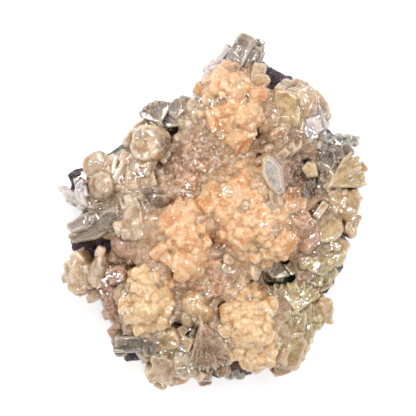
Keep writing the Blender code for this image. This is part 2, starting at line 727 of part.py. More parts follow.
def blocks_right():
    """Yellowish blocks on the lower right rim, with brown-mauve ones inside them."""
    return [
        block(35.6, -14.2, 21.5, 7.2, 5.2, 18, lean=26),
        block(32.6, -15.4, 23.0, 5.4, 6.2, -24),
        block(35.0, -18.6, 18.5, 5.4, 4.6, 35),
        block(27.6, -15.0, 24.5, 3.4, 4.0, 14),
        block(30.4, -19.2, 21.5, 5.6, 4.6, -12),
        block(27.0, -18.2, 21.5, 4.0, 3.6, 20),
        block(33.4, -21.8, 17.0, 4.8, 3.6, 25),
    ]


def flat_low():
    """Olive-grey flat crystals in the hollow below the centre mound."""
    return [
        plate(19.2, -17.6, 20.5, 5.4, 7.4, 76, lean=8, toward=-60),
        slab(23.6, -16.8, 21.0, 2.4, 3.2, 40),
        slab(14.6, -22.6, 21.5, 2.4, 4.4, 32),
    ]


def barrel_centre():
    """The barrel whose six-sided end looks right, with a mauve druse behind it."""
    return [
        barrel(13.6, -17.2, 27.0, 4.8, 5.6, 12, lean=48, toward=-10, deep=9),
        block(9.6, -15.6, 26.5, 5.2, 4.4, 16),
        block(9.4, -19.2, 26.0, 4.4, 3.8, -12),
        lump(5.6, -13.4, 27.0, 4.8, 4.2, 20),
        lump(3.8, -16.6, 26.0, 4.0, 3.4, 0),
    ]


def scallops():
    """Two scalloped fan lobes at the lower right."""
    return fan(24.8, -29.4, 26.5, 9.4, 128, 38, 6, 3.4, dip=16, deep=9) + \
        fan(19.6, -30.0, 26.0, 9.0, 118, 66, 4, 3.2, dip=12, deep=9)


def olive_blocks():
    """Olive and pale green smooth crystals between the mound and the rim."""
    return [
        block(25.0, -32.4, 25.0, 5.6, 6.6, -8, lean=14),
        block(29.0, -35.8, 20.5, 4.8, 7.4, -16, lean=24),
        block(28.6, -31.2, 22.5, 4.4, 5.0, 20),
        lump(21.2, -31.0, 26.5, 3.2, 3.6, 0),
        lump(21.2, -34.9, 26.0, 3.2, 3.2, 0),
    ]


def barrel_right():
    """The barrel that points right, clear of the rim."""
    return [
        barrel(35.0, -30.6, 18.5, 5.8, 6.4, 10, lean=42, toward=-18, deep=10),
        block(32.2, -29.2, 20.5, 4.2, 4.4, 22),
        block(31.6, -33.0, 18.5, 3.6, 3.4, -15),
    ]


def block_bottom_right():
    """The big cream block at the bottom right, in three steps."""
    return [
        block(23.6, -43.4, 22.5, 8.0, 9.8, -14, lean=24),
        block(20.2, -41.6, 25.0, 3.6, 6.6, -20, lean=18, toward=200),
        block(23.8, -38.6, 24.0, 6.2, 3.8, 10),
        block(21.4, -47.4, 17.5, 5.0, 4.2, 20),
        block(26.8, -41.0, 20.0, 3.2, 6.4, -18),
    ]


def fan_bottom():
    """The brown-mauve striated fan that fills the bottom of the picture."""
    return fan(-3.6, -33.4, 27.0, 16.5, -104, -36, 8, 4.0, dip=26, deep=9) + [
        plate(4.2, -36.4, 26.5, 4.6, 8.2, 40, "blade", lean=20, toward=-130, deep=9),
        block(-2.4, -49.0, 17.0, 3.4, 5.6, 4, lean=24),
        block(2.6, -47.6, 17.5, 4.4, 4.4, 18),
        slab(-2.6, -51.2, 13.2, 3.4, 2.8, 12, deep=5),
    ]


def tan_low():
    """Tan rounded crystals above the bottom fan."""
    return [
        lump(-6.2, -27.6, 27.0, 7.6, 6.8, 30),
        lump(-3.0, -31.2, 26.5, 6.0, 5.6, 0),
        lump(-7.6, -32.2, 25.0, 4.6, 5.4, 0),
        block(-10.2, -30.2, 23.0, 3.2, 4.4, 20),
    ]


def points_far_left():
    """Cream and brown crystals with pointed tips on the far lower left."""
    return [
        Crystal(-41.6, -18.4, 19.0, 6.8, 11.0, 4, "blade", "flat", lean=26, deep=9),
        slab(-41.4, -13.9, 17.5, 2.8, 3.2, 42, deep=7),
        Crystal(-35.2, -17.2, 22.0, 6.2, 9.4, -6, "blade", "flat", lean=18, deep=10),
        block(-44.0, -18.2, 14.5, 3.2, 5.8, 10, deep=7),
        block(-36.0, -24.6, 16.5, 4.8, 4.2, 25),
        block(-41.2, -22.4, 15.5, 5.0, 4.6, -12),
        block(-32.2, -21.6, 19.5, 3.4, 4.6, -14),
        slab(-45.2, -20.2, 11.5, 1.8, 2.2, 15, deep=4),
    ]


def crust_lower_left():
    """The crust down the lower left slope, with flat glinting crystals."""
    reaches = [5.8, 6.8, 9.8, 11.0, 9.6, 6.2, 4.6, 4.4, 5.6, 6.8, 6.2, 5.6]
    return [Mound(-28.8, -26.4, 21.5, 7.5, reaches, 19)] + [
        slab(-29.2, -18.8, 25.5, 3.6, 3.6, 10, lean=10, toward=150),
        slab(-31.6, -22.6, 22.0, 2.2, 3.2, 16),
        block(-28.4, -32.8, 20.0, 3.8, 3.8, 20),
        block(-30.0, -36.8, 14.5, 4.2, 3.4, 30, deep=6),
    ]


def grey_block_bottom():
    """The grey-brown block at the lower left, in long steps."""
    return [
        block(-23.8, -40.4, 20.5, 11.2, 5.4, 4, lean=22, toward=-110),
        block(-28.6, -41.6, 15.5, 3.6, 4.8, 8, deep=7),
        block(-18.8, -40.6, 21.0, 4.2, 6.4, -6, lean=16),
        slab(-24.8, -37.0, 20.0, 4.4, 1.8, 10),
    ]


def gold_bottom():
    """Golden brown crystals with one white facet at their right."""
    return [
        lump(-14.2, -38.4, 24.0, 6.8, 6.2, 20),
        block(-12.6, -42.2, 21.5, 5.8, 4.4, -16),
        slab(-8.6, -39.4, 23.0, 3.4, 3.8, -22, lean=16, toward=160),
        slab(-9.2, -35.4, 22.0, 2.8, 2.2, 30),
        block(-15.8, -36.2, 24.5, 3.0, 3.0, 30),
    ]


def pair_bottom():
    """The cream pair at the bottom rim."""
    return [
        block(-15.4, -48.8, 18.0, 6.8, 8.6, -16, lean=28),
        block(-8.2, -46.6, 20.5, 6.6, 8.8, 10, lean=26),
        block(-11.2, -50.2, 14.5, 6.6, 4.6, 10),
        lump(-16.4, -52.2, 11.6, 4.8, 3.8, 10, deep=5),
        block(-5.0, -44.4, 20.0, 3.0, 5.0, -12),
    ]


def celadonite_bottom():
    """Grey-green druse on the bottom rim."""
    return [
        lump(5.2, -50.0, 12.6, 3.6, 3.2, 0),
        lump(8.2, -50.0, 12.4, 2.8, 2.6, 0),
        slab(6.8, -49.0, 13.4, 2.2, 2.2, 20),
    ]


# Nodes: name, colour, crystals. Where two meet, the one that is listed later gives way, so
# the crystals that stand free come before the druse they grew out of.
PIECES = [
    ("heulandite_coffin_centre", "heulandite_pearl", coffin_centre),
    ("heulandite_striated_right", "stellerite_pink", striated_right),
    ("heulandite_prisms_centre", "heulandite_cream", prisms_centre),
    ("heulandite_cap_top", "heulandite_grey", cap_top),
    ("heulandite_wedges_top", "heulandite_cream", wedges_top),
    ("heulandite_plates_top_left", "heulandite_pearl", plates_top_left),
    ("heulandite_tan_shoulder", "heulandite_tan", tan_shoulder),
    ("heulandite_balls_shoulder", "heulandite_cream", balls_shoulder),
    ("heulandite_golden_ball", "heulandite_tan", golden_ball),
    ("heulandite_glassy_shoulder", "heulandite_pearl", glassy_shoulder),
    ("heulandite_ball_left", "heulandite_cream", ball_left),
    ("heulandite_fan_upper_left", "heulandite_grey", fan_upper_left),
    ("heulandite_ledge_upper_left", "heulandite_cream", ledge_upper_left),
    ("heulandite_cluster_left", "heulandite_cream", cluster_left),
    ("heulandite_block_far_left", "heulandite_cream", block_far_left),
    ("heulandite_crescent_left", "heulandite_pearl", crescent_left),
    ("heulandite_blades_left", "heulandite_grey", blades_left),
    ("heulandite_point_left", "heulandite_cream", point_left),
    ("heulandite_mauve_left", "heulandite_mauve", crystals_mauve_left),
    ("heulandite_barrel_centre", "heulandite_cream", barrel_centre),
    ("stellerite_scallops", "heulandite_olive", scallops),
    ("heulandite_olive_blocks", "heulandite_olive", olive_blocks),
    ("heulandite_barrel_right", "heulandite_tan", barrel_right),
    ("heulandite_block_bottom_right", "heulandite_tan", block_bottom_right),
    ("heulandite_disc_right", "heulandite_tan", disc_right),
    ("heulandite_ledge_right", "heulandite_tan", ledge_right),
    ("stellerite_fan_right", "heulandite_tan", fan_right),
    ("heulandite_field_right", "heulandite_mauve", field_right),
    ("heulandite_grey_right", "heulandite_grey", grey_right),
    ("celadonite_druse_right", "celadonite", celadonite_right),
    ("heulandite_blocks_right", "heulandite_olive", blocks_right),
    ("heulandite_flat_low", "heulandite_olive", flat_low),
    ("heulandite_points_far_left", "heulandite_cream", points_far_left),
    ("heulandite_tan_low", "heulandite_tan", tan_low),
    ("heulandite_gold_bottom", "heulandite_tan", gold_bottom),
    ("heulandite_pair_bottom", "heulandite_cream", pair_bottom),
    ("heulandite_grey_block_bottom", "heulandite_grey", grey_block_bottom),
    ("celadonite_druse_bottom", "celadonite", celadonite_bottom),
    ("stellerite_mound_centre", "stellerite_orange", mound_centre),
    ("stellerite_mound_left", "stellerite_orange", mound_left),
    ("stellerite_mound_top", "stellerite_orange", mound_top),
    ("stellerite_mound_lower_right", "stellerite_yellow", mound_lower_right),
    ("stellerite_mound_lower_left", "stellerite_yellow", mound_lower_left),
    ("stellerite_crust_left", "stellerite_pink", crust_left),
    ("stellerite_fan_bottom", "stellerite_brown", fan_bottom),
    ("stellerite_crust_lower_left", "stellerite_pink", crust_lower_left),
    ("stellerite_crust_upper", "stellerite_pink", crust_upper),
    ("stellerite_druse_low", "stellerite_pink", druse_low),
]


def corners_of(item):
    """An object's vertices in the specimen's frame."""
    return [item.matrix_world @ corner.co for corner in item.data.vertices]


def bounds_of(item):
    """Lowest and highest corner of an object, in metres."""
    corners = corners_of(item)
    low = Vector([min(corner[axis] for corner in corners) for axis in range(3)])
    high = Vector([max(corner[axis] for corner in corners) for axis in range(3)])
    return low, high


def near_each_other(one, other):
    low_one, high_one = bounds_of(one)
    low_other, high_other = bounds_of(other)
    slack = 2.0 * GAP * MM
    return all(
        low_one[axis] < high_other[axis] + slack and low_other[axis] < high_one[axis] + slack
        for axis in range(3)
    )


def combine(item, others, operation, bench):
    """Join the other objects to this one, or cut it with them, in one Boolean."""
    if not others:
        return
    for other in others:
        bench.objects.link(other)
    cut = item.modifiers.new("combine", "BOOLEAN")
    cut.operation = operation
    cut.operand_type = "COLLECTION"
    cut.collection = bench
    cut.solver = "EXACT"
    graph = bpy.context.evaluated_depsgraph_get()
    graph.update()
    result = bpy.data.meshes.new_from_object(item.evaluated_get(graph))
    item.modifiers.remove(cut)
    item.data = result
    for other in others:
        bench.objects.unlink(other)


def keep_largest_body(item):
    """Take away the crumbs that a cut leaves beside the piece."""
    cage = bmesh.new()
    cage.from_mesh(item.data)
    bmesh.ops.dissolve_limit(cage, angle_limit=FLAT_ANGLE, verts=cage.verts, edges=cage.edges)
    bmesh.ops.triangulate(cage, faces=cage.faces)
    bodies = []
    unseen = set(cage.verts)
    while unseen:
        body = {unseen.pop()}
        waiting = list(body)
        while waiting:
            for edge in waiting.pop().link_edges:
                for corner in edge.verts:
                    if corner in unseen:
                        unseen.discard(corner)
                        body.add(corner)
                        waiting.append(corner)
        bodies.append(body)
    bodies.sort(key=len)
    for body in bodies[:-1]:
        bmesh.ops.delete(cage, geom=list(body), context="VERTS")
    cage.to_mesh(item.data)
    cage.free()


def surface_tree(item):
    """The object's surface, ready to be tested against another's."""
    faces = [tuple(face.vertices) for face in item.data.polygons]
    return BVHTree.FromPolygons(corners_of(item), faces)


def thin_out(item, shares, others):
    """Collapse the slivers that the cuts leave, as far as this piece stays clear of others."""
    full = item.data
    for share in shares:
        thinner = item.modifiers.new("thin out", "DECIMATE")
        thinner.decimate_type = "COLLAPSE"
        thinner.ratio = share
        thinner.use_collapse_triangulate = True
        graph = bpy.context.evaluated_depsgraph_get()
        graph.update()
        thinned = bpy.data.meshes.new_from_object(item.evaluated_get(graph))
        item.modifiers.remove(thinner)
        item.data = thinned
        tree = surface_tree(item)
        if not any(tree.overlap(other) for other in others):
            return
        item.data = full


def centre_on_origin(items):
    """Put the middle of the outline over the origin, with the back at height zero."""
    bpy.context.view_layer.update()
    boxes = [bounds_of(item) for item in items]
    low = [min(box[0][axis] for box in boxes) for axis in range(3)]
    high = [max(box[1][axis] for box in boxes) for axis in range(3)]
    shift = Vector((0.5 * (low[0] + high[0]), 0.5 * (low[1] + high[1]), low[2]))
    for item in items:
        item.location -= shift
    bpy.context.view_layer.update()


def bare_openings(margin):
    """A round shaft over each bare place."""
    return [
        Crystal(x, y, SHAFT_HEIGHT, 2.0 * radius, 2.0 * radius, 0.0, "round", "plain", lean=0.0,
                deep=SHAFT_HEIGHT, foot=1.0).solid("opening", margin)
        for x, y, radius in BARE_PLACES
    ]


def build():
    clear_scene()
    specimen = new_collection("stellerite_with_heulandite")
    cutters = new_collection("cutters")
    bench = bpy.data.collections.new("bench")
    colours = {slot: surface_colour(slot) for slot in COLOURS}

    matrix = rock("basalt_matrix")
    matrix.data.materials.append(colours["basalt"])
    specimen.objects.link(matrix)
    raised_rock = rock("raised_matrix", swell=GAP)
    raised_bed = bed("raised_bed", swell=BED_GAP)
    openings = bare_openings(0.0)
    tight_openings = bare_openings(-GAP)
    crust = bed("stellerite_bed")
    specimen.objects.link(crust)
    for item in [raised_rock, raised_bed] + openings + tight_openings:
        cutters.objects.link(item)
    bpy.context.view_layer.update()
    combine(crust, openings + [raised_rock], "DIFFERENCE", bench)
    combine(raised_bed, tight_openings, "DIFFERENCE", bench)
    keep_largest_body(crust)
    thin_out(crust, FACES_KEPT, [surface_tree(matrix), surface_tree(raised_bed)])
    finished = [surface_tree(matrix), surface_tree(crust)]
    crust.data.materials.clear()
    crust.data.materials.append(colours["stellerite_brown"])

    earlier = []
    for name, slot, crystals_of in PIECES:
        crystals = crystals_of()
        parts = [crystal.solid(name) for crystal in crystals]
        item = parts[0]
        item.name = name
        specimen.objects.link(item)
        bpy.context.view_layer.update()
        combine(item, parts[1:], "UNION", bench)
        margins = [crystal.solid(name + "_margin", GAP) for crystal in crystals]
        for margin in margins:
            cutters.objects.link(margin)
        bpy.context.view_layer.update()
        neighbours = [one for one in earlier if near_each_other(item, one)]
        combine(item, [raised_rock, raised_bed] + neighbours, "DIFFERENCE", bench)
        keep_largest_body(item)
        is_druse = isinstance(crystals[0], Mound)
        thin_out(item, DRUSE_FACES_KEPT if is_druse else FACES_KEPT, finished)
        finished.append(surface_tree(item))
        item.data.materials.clear()
        item.data.materials.append(colours[slot])
        earlier += margins
        for part in parts[1:]:
            bpy.data.objects.remove(part, do_unlink=True)
    for cutter in earlier + openings + tight_openings + [raised_rock, raised_bed]:
        bpy.data.objects.remove(cutter, do_unlink=True)
    centre_on_origin(list(specimen.objects))


build()
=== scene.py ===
# %% [markdown]
# # Stellerite with heulandite on basalt, seen from its crystal side
#
# This lesson dresses a packed model of a mineral specimen. The packed model has the right sizes
# and places, but its crystals are plain faceted solids. Here each of them gets the surface of a
# real one: hundreds of druse crystals, growth lines, rounded edges with a painted highlight, a
# milky or clear body, and a rough, dark rock behind them all.
#
# All tables are in millimetres, with +X to the right, +Y towards the peak and +Z towards the
# viewer, because that is how one thinks of a stone in the hand.

import json
import math
import random

import bmesh
import bpy
import numpy as np
from mathutils import Euler, Matrix, Vector
from mathutils.bvhtree import BVHTree

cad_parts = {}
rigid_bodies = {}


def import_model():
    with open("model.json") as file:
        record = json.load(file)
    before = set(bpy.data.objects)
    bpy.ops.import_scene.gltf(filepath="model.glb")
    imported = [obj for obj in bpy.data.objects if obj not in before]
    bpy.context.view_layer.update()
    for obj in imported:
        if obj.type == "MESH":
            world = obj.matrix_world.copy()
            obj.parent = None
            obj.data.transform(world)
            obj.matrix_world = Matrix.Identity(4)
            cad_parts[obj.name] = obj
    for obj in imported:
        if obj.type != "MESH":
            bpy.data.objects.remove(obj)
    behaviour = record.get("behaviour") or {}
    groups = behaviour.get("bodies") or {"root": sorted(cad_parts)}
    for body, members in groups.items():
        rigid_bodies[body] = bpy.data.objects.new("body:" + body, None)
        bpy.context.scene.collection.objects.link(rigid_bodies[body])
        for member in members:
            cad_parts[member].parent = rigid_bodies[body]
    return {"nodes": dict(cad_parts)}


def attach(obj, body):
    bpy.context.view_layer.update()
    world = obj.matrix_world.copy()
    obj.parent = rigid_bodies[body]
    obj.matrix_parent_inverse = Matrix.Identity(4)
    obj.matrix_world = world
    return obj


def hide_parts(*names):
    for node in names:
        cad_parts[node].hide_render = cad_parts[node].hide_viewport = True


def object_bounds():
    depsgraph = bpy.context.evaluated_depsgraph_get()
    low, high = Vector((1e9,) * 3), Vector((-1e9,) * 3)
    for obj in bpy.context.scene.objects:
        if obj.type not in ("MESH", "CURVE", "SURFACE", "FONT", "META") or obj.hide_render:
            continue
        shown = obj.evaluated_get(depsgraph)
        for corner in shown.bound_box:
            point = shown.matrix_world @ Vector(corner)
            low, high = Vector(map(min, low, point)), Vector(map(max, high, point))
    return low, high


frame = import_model()
cad_low, cad_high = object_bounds()
MM = 0.001
chance = random.Random(20)
print("packed model:", len(frame["nodes"]), "nodes,",
      [round(v / MM, 1) for v in cad_high - cad_low], "mm")

# %% [markdown]
# ## The studio
#
# The specimen was photographed from straight above on white, with large soft lights all round it.
# A sheet of white paper would do on a table. Here the floor is one plane, and it glows a little,
# as paper does under strong lamps, so that the shadow round the rim stays pale.

# %% The floor
FLOOR_SIZE = 4.0
FLOOR_COLOUR = (0.93, 0.93, 0.93, 1.0)
FLOOR_GLOW = 0.46


def paper():
    """Plain white paper with a faint tooth."""
    material = bpy.data.materials.new("paper")
    material.use_nodes = True
    nodes, links = material.node_tree.nodes, material.node_tree.links
    shader = nodes["Principled BSDF"]
    shader.inputs["Base Color"].default_value = FLOOR_COLOUR
    shader.inputs["Roughness"].default_value = 0.9
    shader.inputs["Specular IOR Level"].default_value = 0.1
    shader.inputs["Emission Color"].default_value = FLOOR_COLOUR
    shader.inputs["Emission Strength"].default_value = FLOOR_GLOW
    tooth = nodes.new("ShaderNodeTexNoise")
    tooth.inputs["Scale"].default_value = 900.0
    bump = nodes.new("ShaderNodeBump")
    bump.inputs["Strength"].default_value = 0.02
    bump.inputs["Distance"].default_value = 0.0001
    links.new(tooth.outputs["Fac"], bump.inputs["Height"])
    links.new(bump.outputs["Normal"], shader.inputs["Normal"])
    return material


def lay_floor():
    cage = bmesh.new()
    bmesh.ops.create_grid(cage, x_segments=1, y_segments=1, size=FLOOR_SIZE / 2.0)
    mesh = bpy.data.meshes.new("floor")
    cage.to_mesh(mesh)
    cage.free()
    mesh.materials.append(paper())
    floor = bpy.data.objects.new("floor", mesh)
    floor.location.z = -0.0001
    bpy.context.scene.collection.objects.link(floor)
    return floor


floor = lay_floor()
print("floor:", floor.dimensions[:2])

# %% [markdown]
# ## The camera
#
# The picture is a square, and the specimen fills most of it, a little left and low of the
# middle. A long lens from straight above keeps the perspective as flat as the photograph's: what
# stands 38 mm high looks only a few percent larger than what lies at the rim.

# %% The camera
PICTURE_SIDE = 124.8 * MM
LENS = 220.0
SENSOR = 36.0
LOOK_AT = Vector((-1.9, 1.4, 20.0)) * MM

camera_data = bpy.data.cameras.new("camera")
camera_data.lens = LENS
camera_data.sensor_width = SENSOR
camera = bpy.data.objects.new("camera", camera_data)
distance = PICTURE_SIDE * LENS / SENSOR
camera.location = LOOK_AT + Vector((0.0, 0.0, distance))
camera_data.clip_end = 20.0
bpy.context.scene.collection.objects.link(camera)
bpy.context.scene.camera = camera
print("camera height:", round(distance, 3), "m")

# %% [markdown]
# ## The lights
#
# Small white windows glint on the crystals' faces: they are mirror images of softboxes. Three
# broad panels would light the stone evenly but leave it dull. So seven small softboxes stand round
# it at different heights as well, where faces of many slopes catch one, each of a slightly
# different white. The sky round them is an even white, which fills the hollows.

# %% The lights
# Name, turn round the stone and height in degrees, distance in metres, width and height, watts
SOFTBOXES = [
    ("window_left", 152.0, 50.0, 0.75, 0.18, 0.11, 1.08),
    ("window_upper_left", 118.0, 66.0, 0.80, 0.18, 0.11, 0.86),
    ("window_top", 74.0, 52.0, 0.80, 0.18, 0.11, 1.06),
    ("window_upper_right", 30.0, 68.0, 0.80, 0.18, 0.11, 0.82),
    ("window_right", -18.0, 46.0, 0.75, 0.18, 0.11, 0.90),
    ("window_low_right", -62.0, 64.0, 0.80, 0.18, 0.11, 0.67),
    ("panel_left", 172.0, 38.0, 0.90, 0.70, 0.50, 1.54),
    ("panel_top", 84.0, 42.0, 0.90, 0.70, 0.50, 1.41),
    ("panel_right", -25.0, 36.0, 0.90, 0.60, 0.45, 0.96),
    ("window_low_left", -122.0, 50.0, 0.85, 0.18, 0.11, 0.74),
]
LAMP_WHITES = [(1.0, 0.97, 0.96), (1.0, 0.93, 0.98), (0.97, 0.96, 1.0)]
SKY = (1.0, 0.99, 0.98, 1.0)
SKY_STRENGTH = 0.12


def hang_softbox(name, turn, height, away, wide, tall, watts):
    data = bpy.data.lights.new(name, "AREA")
    data.shape = "RECTANGLE"
    data.size = wide
    data.size_y = tall
    data.energy = watts
    data.color = chance.choice(LAMP_WHITES)
    lamp = bpy.data.objects.new(name, data)
    turn, height = math.radians(turn), math.radians(height)
    way = Vector((math.cos(turn) * math.cos(height), math.sin(turn) * math.cos(height),
                  math.sin(height)))
    lamp.location = way * away
    lamp.rotation_euler = way.to_track_quat("Z", "Y").to_euler()
    bpy.context.scene.collection.objects.link(lamp)


for softbox in SOFTBOXES:
    hang_softbox(*softbox)
world = bpy.data.worlds.new("studio")
world.use_nodes = True
world.node_tree.nodes["Background"].inputs["Color"].default_value = SKY
world.node_tree.nodes["Background"].inputs["Strength"].default_value = SKY_STRENGTH
bpy.context.scene.world = world
bpy.context.scene.view_settings.view_transform = "Standard"
print("softboxes:", len(SOFTBOXES))

# %% [markdown]
# ## Colours on the screen
#
# A painter mixes the stone's colours as they look on the screen, from 0 to 255. Blender's
# shaders count in light, so each value is turned into a linear one first.

# %% From screen values to light
def seen(red, green, blue):
    """A colour as it looks on screen, as a linear colour for a shader."""
    def light(value):
        value = value / 255.0
        return value / 12.92 if value <= 0.04045 else ((value + 0.055) / 1.055) ** 2.4
    return (light(red), light(green), light(blue), 1.0)


print("peach in light:", [round(v, 3) for v in seen(240, 196, 150)])

# %% [markdown]
# ## A kit for materials
#
# A material in Blender is a web of nodes, and a crystal needs about seventy of them. Drawn by
# hand in the editor, fifteen finishes would drift apart. So each kind of node is made and joined
# in one short call.

# %% Nodes in short calls
class Wiring:
    """A material's nodes, made and joined in short calls."""

    def __init__(self, name):
        self.material = bpy.data.materials.new(name)
        self.material.use_nodes = True
        self.tree = self.material.node_tree
        self.shader = self.tree.nodes["Principled BSDF"]

    def put(self, socket, value):
        if isinstance(value, bpy.types.NodeSocket):
            self.tree.links.new(value, socket)
        else:
            socket.default_value = value

    def node(self, kind, **values):
        """A new node, with a value or a link on each named input (From_Min is "From Min")."""
        node = self.tree.nodes.new("ShaderNode" + kind)
        for name, value in values.items():
            self.put(node.inputs[name.replace("_", " ")], value)
        return node

    def fact(self, name, output="Fac"):
        """What the mesh says about itself at a point."""
        node = self.node("Attribute")
        node.attribute_name = name
        return node.outputs[output]

    def noise(self, scale, place=None, detail=4.0):
        if place is None:
            place = self.node("TexCoord").outputs["Object"]
        return self.node("TexNoise", Scale=scale, Detail=detail, Vector=place).outputs["Fac"]

    def span(self, value, low, high, start=0.0, end=1.0):
        """Low to high becomes start to end, and stays there outside."""
        return self.node("MapRange", Value=value, From_Min=low, From_Max=high, To_Min=start,
                         To_Max=end).outputs["Result"]


print("kinds of short call:", sorted(name for name in vars(Wiring) if name[0] != "_"))

# %% [markdown]
# ## Glazes and relief
#
# A glaze lays one colour over another where some value runs from low to high. A crystal's finest
# relief is too small for the mesh. Bump nodes give its steps. For its tiny facets, each cell of a
# Voronoi pattern leans the normal another way, which a bump would round off.

# %% Mixing, glazing and leaning
class Glazing(Wiring):
    """Wiring with colour mixes, and with relief that is finer than the mesh."""

    def mix(self, share, first, second, way="MIX"):
        node = self.tree.nodes.new("ShaderNodeMix")
        node.data_type = "RGBA"
        node.blend_type = way
        self.put(node.inputs["Factor"], share)
        self.put(node.inputs[6], first)
        self.put(node.inputs[7], second)
        return node.outputs[2]

    def glaze(self, colour, value, low, high, share, over):
        """Up to a share of the second colour, as the value goes from low to high."""
        return self.mix(self.span(value, low, high, 0.0, share), colour, over)

    def times(self, first, second, way="MULTIPLY"):
        node = self.node("Math")
        node.operation = way
        node.use_clamp = True
        self.put(node.inputs[0], first)
        self.put(node.inputs[1], second)
        return node.outputs[0]

    def vectors(self, way, *values):
        node = self.node("VectorMath")
        node.operation = way
        for socket, value in zip(node.inputs, values):
            self.put(socket, value)
        return node.outputs["Vector"]

    def facets(self, scale, tilt):
        """Normals that lean a little another way in each small cell, so that cells glitter."""
        place = self.node("TexCoord").outputs["Object"]
        cells = self.node("TexVoronoi", Scale=scale, Vector=place).outputs["Color"]
        lean = self.vectors("MULTIPLY_ADD", cells, (tilt,) * 3, (-0.5 * tilt,) * 3)
        total = self.vectors("ADD", self.node("NewGeometry").outputs["Normal"], lean)
        return self.vectors("NORMALIZE", total)

    def bump(self, height, strength, distance, normal=None):
        node = self.node("Bump", Strength=strength, Distance=distance, Height=height)
        if normal is not None:
            self.put(node.inputs["Normal"], normal)
        return node.outputs["Normal"]


print("and for colour and relief:", sorted(name for name in vars(Glazing) if name[0] != "_"))

# %% [markdown]
# ## What a crystal's finish can change
#
# Stellerite and heulandite are milky or clear, with a glassy skin, and differ in how clear, how
# stained and how streaked they are, and in how much painted light and shade they get. Instead of a
# web for each there is one recipe with these settings, and a finish names only what is unusual
# about it.

# %% The settings and their usual values
USUAL = {
    "clear": 0.0,           # how much light goes straight through
    "rough": (0.05, 0.18),  # the smoothest and the roughest spot of the skin
    "glow": 2.4,            # how deep light wanders inside, in millimetres
    "lustre": 0.6,          # how strong the mirror images are
    "glitter": 0.06,        # how far the small facets lean
    "flank": 0.50,          # painted shade down the sides
    "patch": 0.25,          # soft brown clouds
    "deep": 0.7,            # painted shade in a crevice
    "crease": 0.15,         # painted shade where faces meet inwards
    "frost": 0.15,          # painted white highlight where faces meet outwards
    "streak": 0.25,         # growth lines, brown, and pale ones that partly stand for painted reflections off cleavage planes
    "grainy": 0.55,         # white specks
    "mottle": 0.40,         # brown specks
    "stain": 1.0,           # how well the orange iron stain takes
    "sides": None,          # painted reflections: tints of the bevels on the left and on the right
}
LINES_ACROSS = (1.5, 0.20, 0.20)
LINE_SCALE = (2.3, 0.26, 0.26)
VEIL_SCALE = 620.0
PATCH_SCALE = 330.0
SPECK_SCALE = 1500.0
FACET_SCALE = 1000.0


class CrystalGlazing(Glazing):
    """The noises that every crystal's finish is drawn with, and its own settings."""

    def __init__(self, name, how):
        super().__init__(name)
        self.how = {**USUAL, **how}
        self.veils = self.noise(VEIL_SCALE)
        self.clouds = self.noise(PATCH_SCALE, detail=3.0)
        self.specks = self.noise(SPECK_SCALE, detail=3.0)
        lines = self.node("Mapping", Vector=self.fact("grain", "Vector"), Scale=LINE_SCALE)
        self.growth = self.noise(1.0, lines.outputs["Vector"])
        self.edge = self.fact("edge")


print("settings of a crystal's finish:", len(USUAL))

# %% [markdown]
# ## Painted light and shade from depth
#
# A crevice in crystal is never grey: light that has gone through much of it comes out orange or
# brown, and a thin tip comes out pale. Tracing that light through hundreds of clear bodies is slow.
# So this light and shade is painted into the colour. Every mesh will carry facts at its points, and
# the finish reads them: how near the crystal's tip a point is (rise, for painted light on the tips
# and painted shade down the flanks), whether it is on an edge or in a crease (edge, for a painted
# highlight or painted shade), how far it lies below its neighbours (hollow, and cavern for whole
# hollows, both for painted shade), and how dark or orange the stone is at that place (gloom,
# warmth).

# %% Painted light on the tips, painted shade on the flanks and in the hollows
PITCH = seen(42, 32, 34)


def colour_with_painted_light_and_shade(wire, milk, tip, shade, cavern):
    """The crystal's body colour with painted light and shade, from what the mesh knows about each
    point.
    """
    how, rise = wire.how, wire.fact("rise")
    # What is read, where it begins and ends, the largest share, and the colour laid over
    glazes = [
        # Painted light on the tips, painted shade down the flanks, soft brown clouds, then painted
        # shade in crevices, in creases and at the bottom of hollows
        (rise, 0.35, 1.0, 0.6, tip),
        (rise, 0.72, 0.20, how["flank"], shade),
        (wire.clouds, 0.54, 0.34, how["patch"], shade),
        (wire.veils, 0.50, 0.32, how["patch"] * 0.7, shade),
        (wire.fact("hollow"), 0.06, 0.85, how["deep"], shade),
        (wire.edge, -0.10, -0.80, how["crease"], shade),
        (wire.fact("cavern"), 0.25, 1.0, 0.85, cavern),
    ]
    colour = milk
    for glaze in glazes:
        colour = wire.glaze(colour, *glaze)
    # Dark places: partly thin crystal over black rock, partly painted shade
    gloom = wire.fact("gloom")
    uneven = wire.times(gloom, wire.span(wire.clouds, 0.30, 0.62, 1.0, 0.55))
    return wire.glaze(wire.mix(uneven, colour, cavern), gloom, 0.72, 0.98, 0.85, PITCH)


print("darkest colour in light:", [round(v, 3) for v in PITCH[:3]])

# %% [markdown]
# ## Marks on the skin
#
# Each crystal has a tone of its own, pale and brown lines run along it, its edges get a painted
# white highlight, and fine specks sit in the skin. The pale lines partly stand for painted
# reflections off cleavage planes. The lines follow the crystal because their noise is read in the
# crystal's own axes (grain). The clear coffin crystal mirrors what is beside it, so its bevels also
# get a painted reflection, one tint on either side.

# %% Tone, growth lines, painted edge highlights, specks and painted reflections on the bevels
# Pale colour of the growth lines and specks, and of the painted highlight on edges
PALE_MARKS_AND_HIGHLIGHT = seen(252, 240, 220)
TONES = (0.88, 1.06)


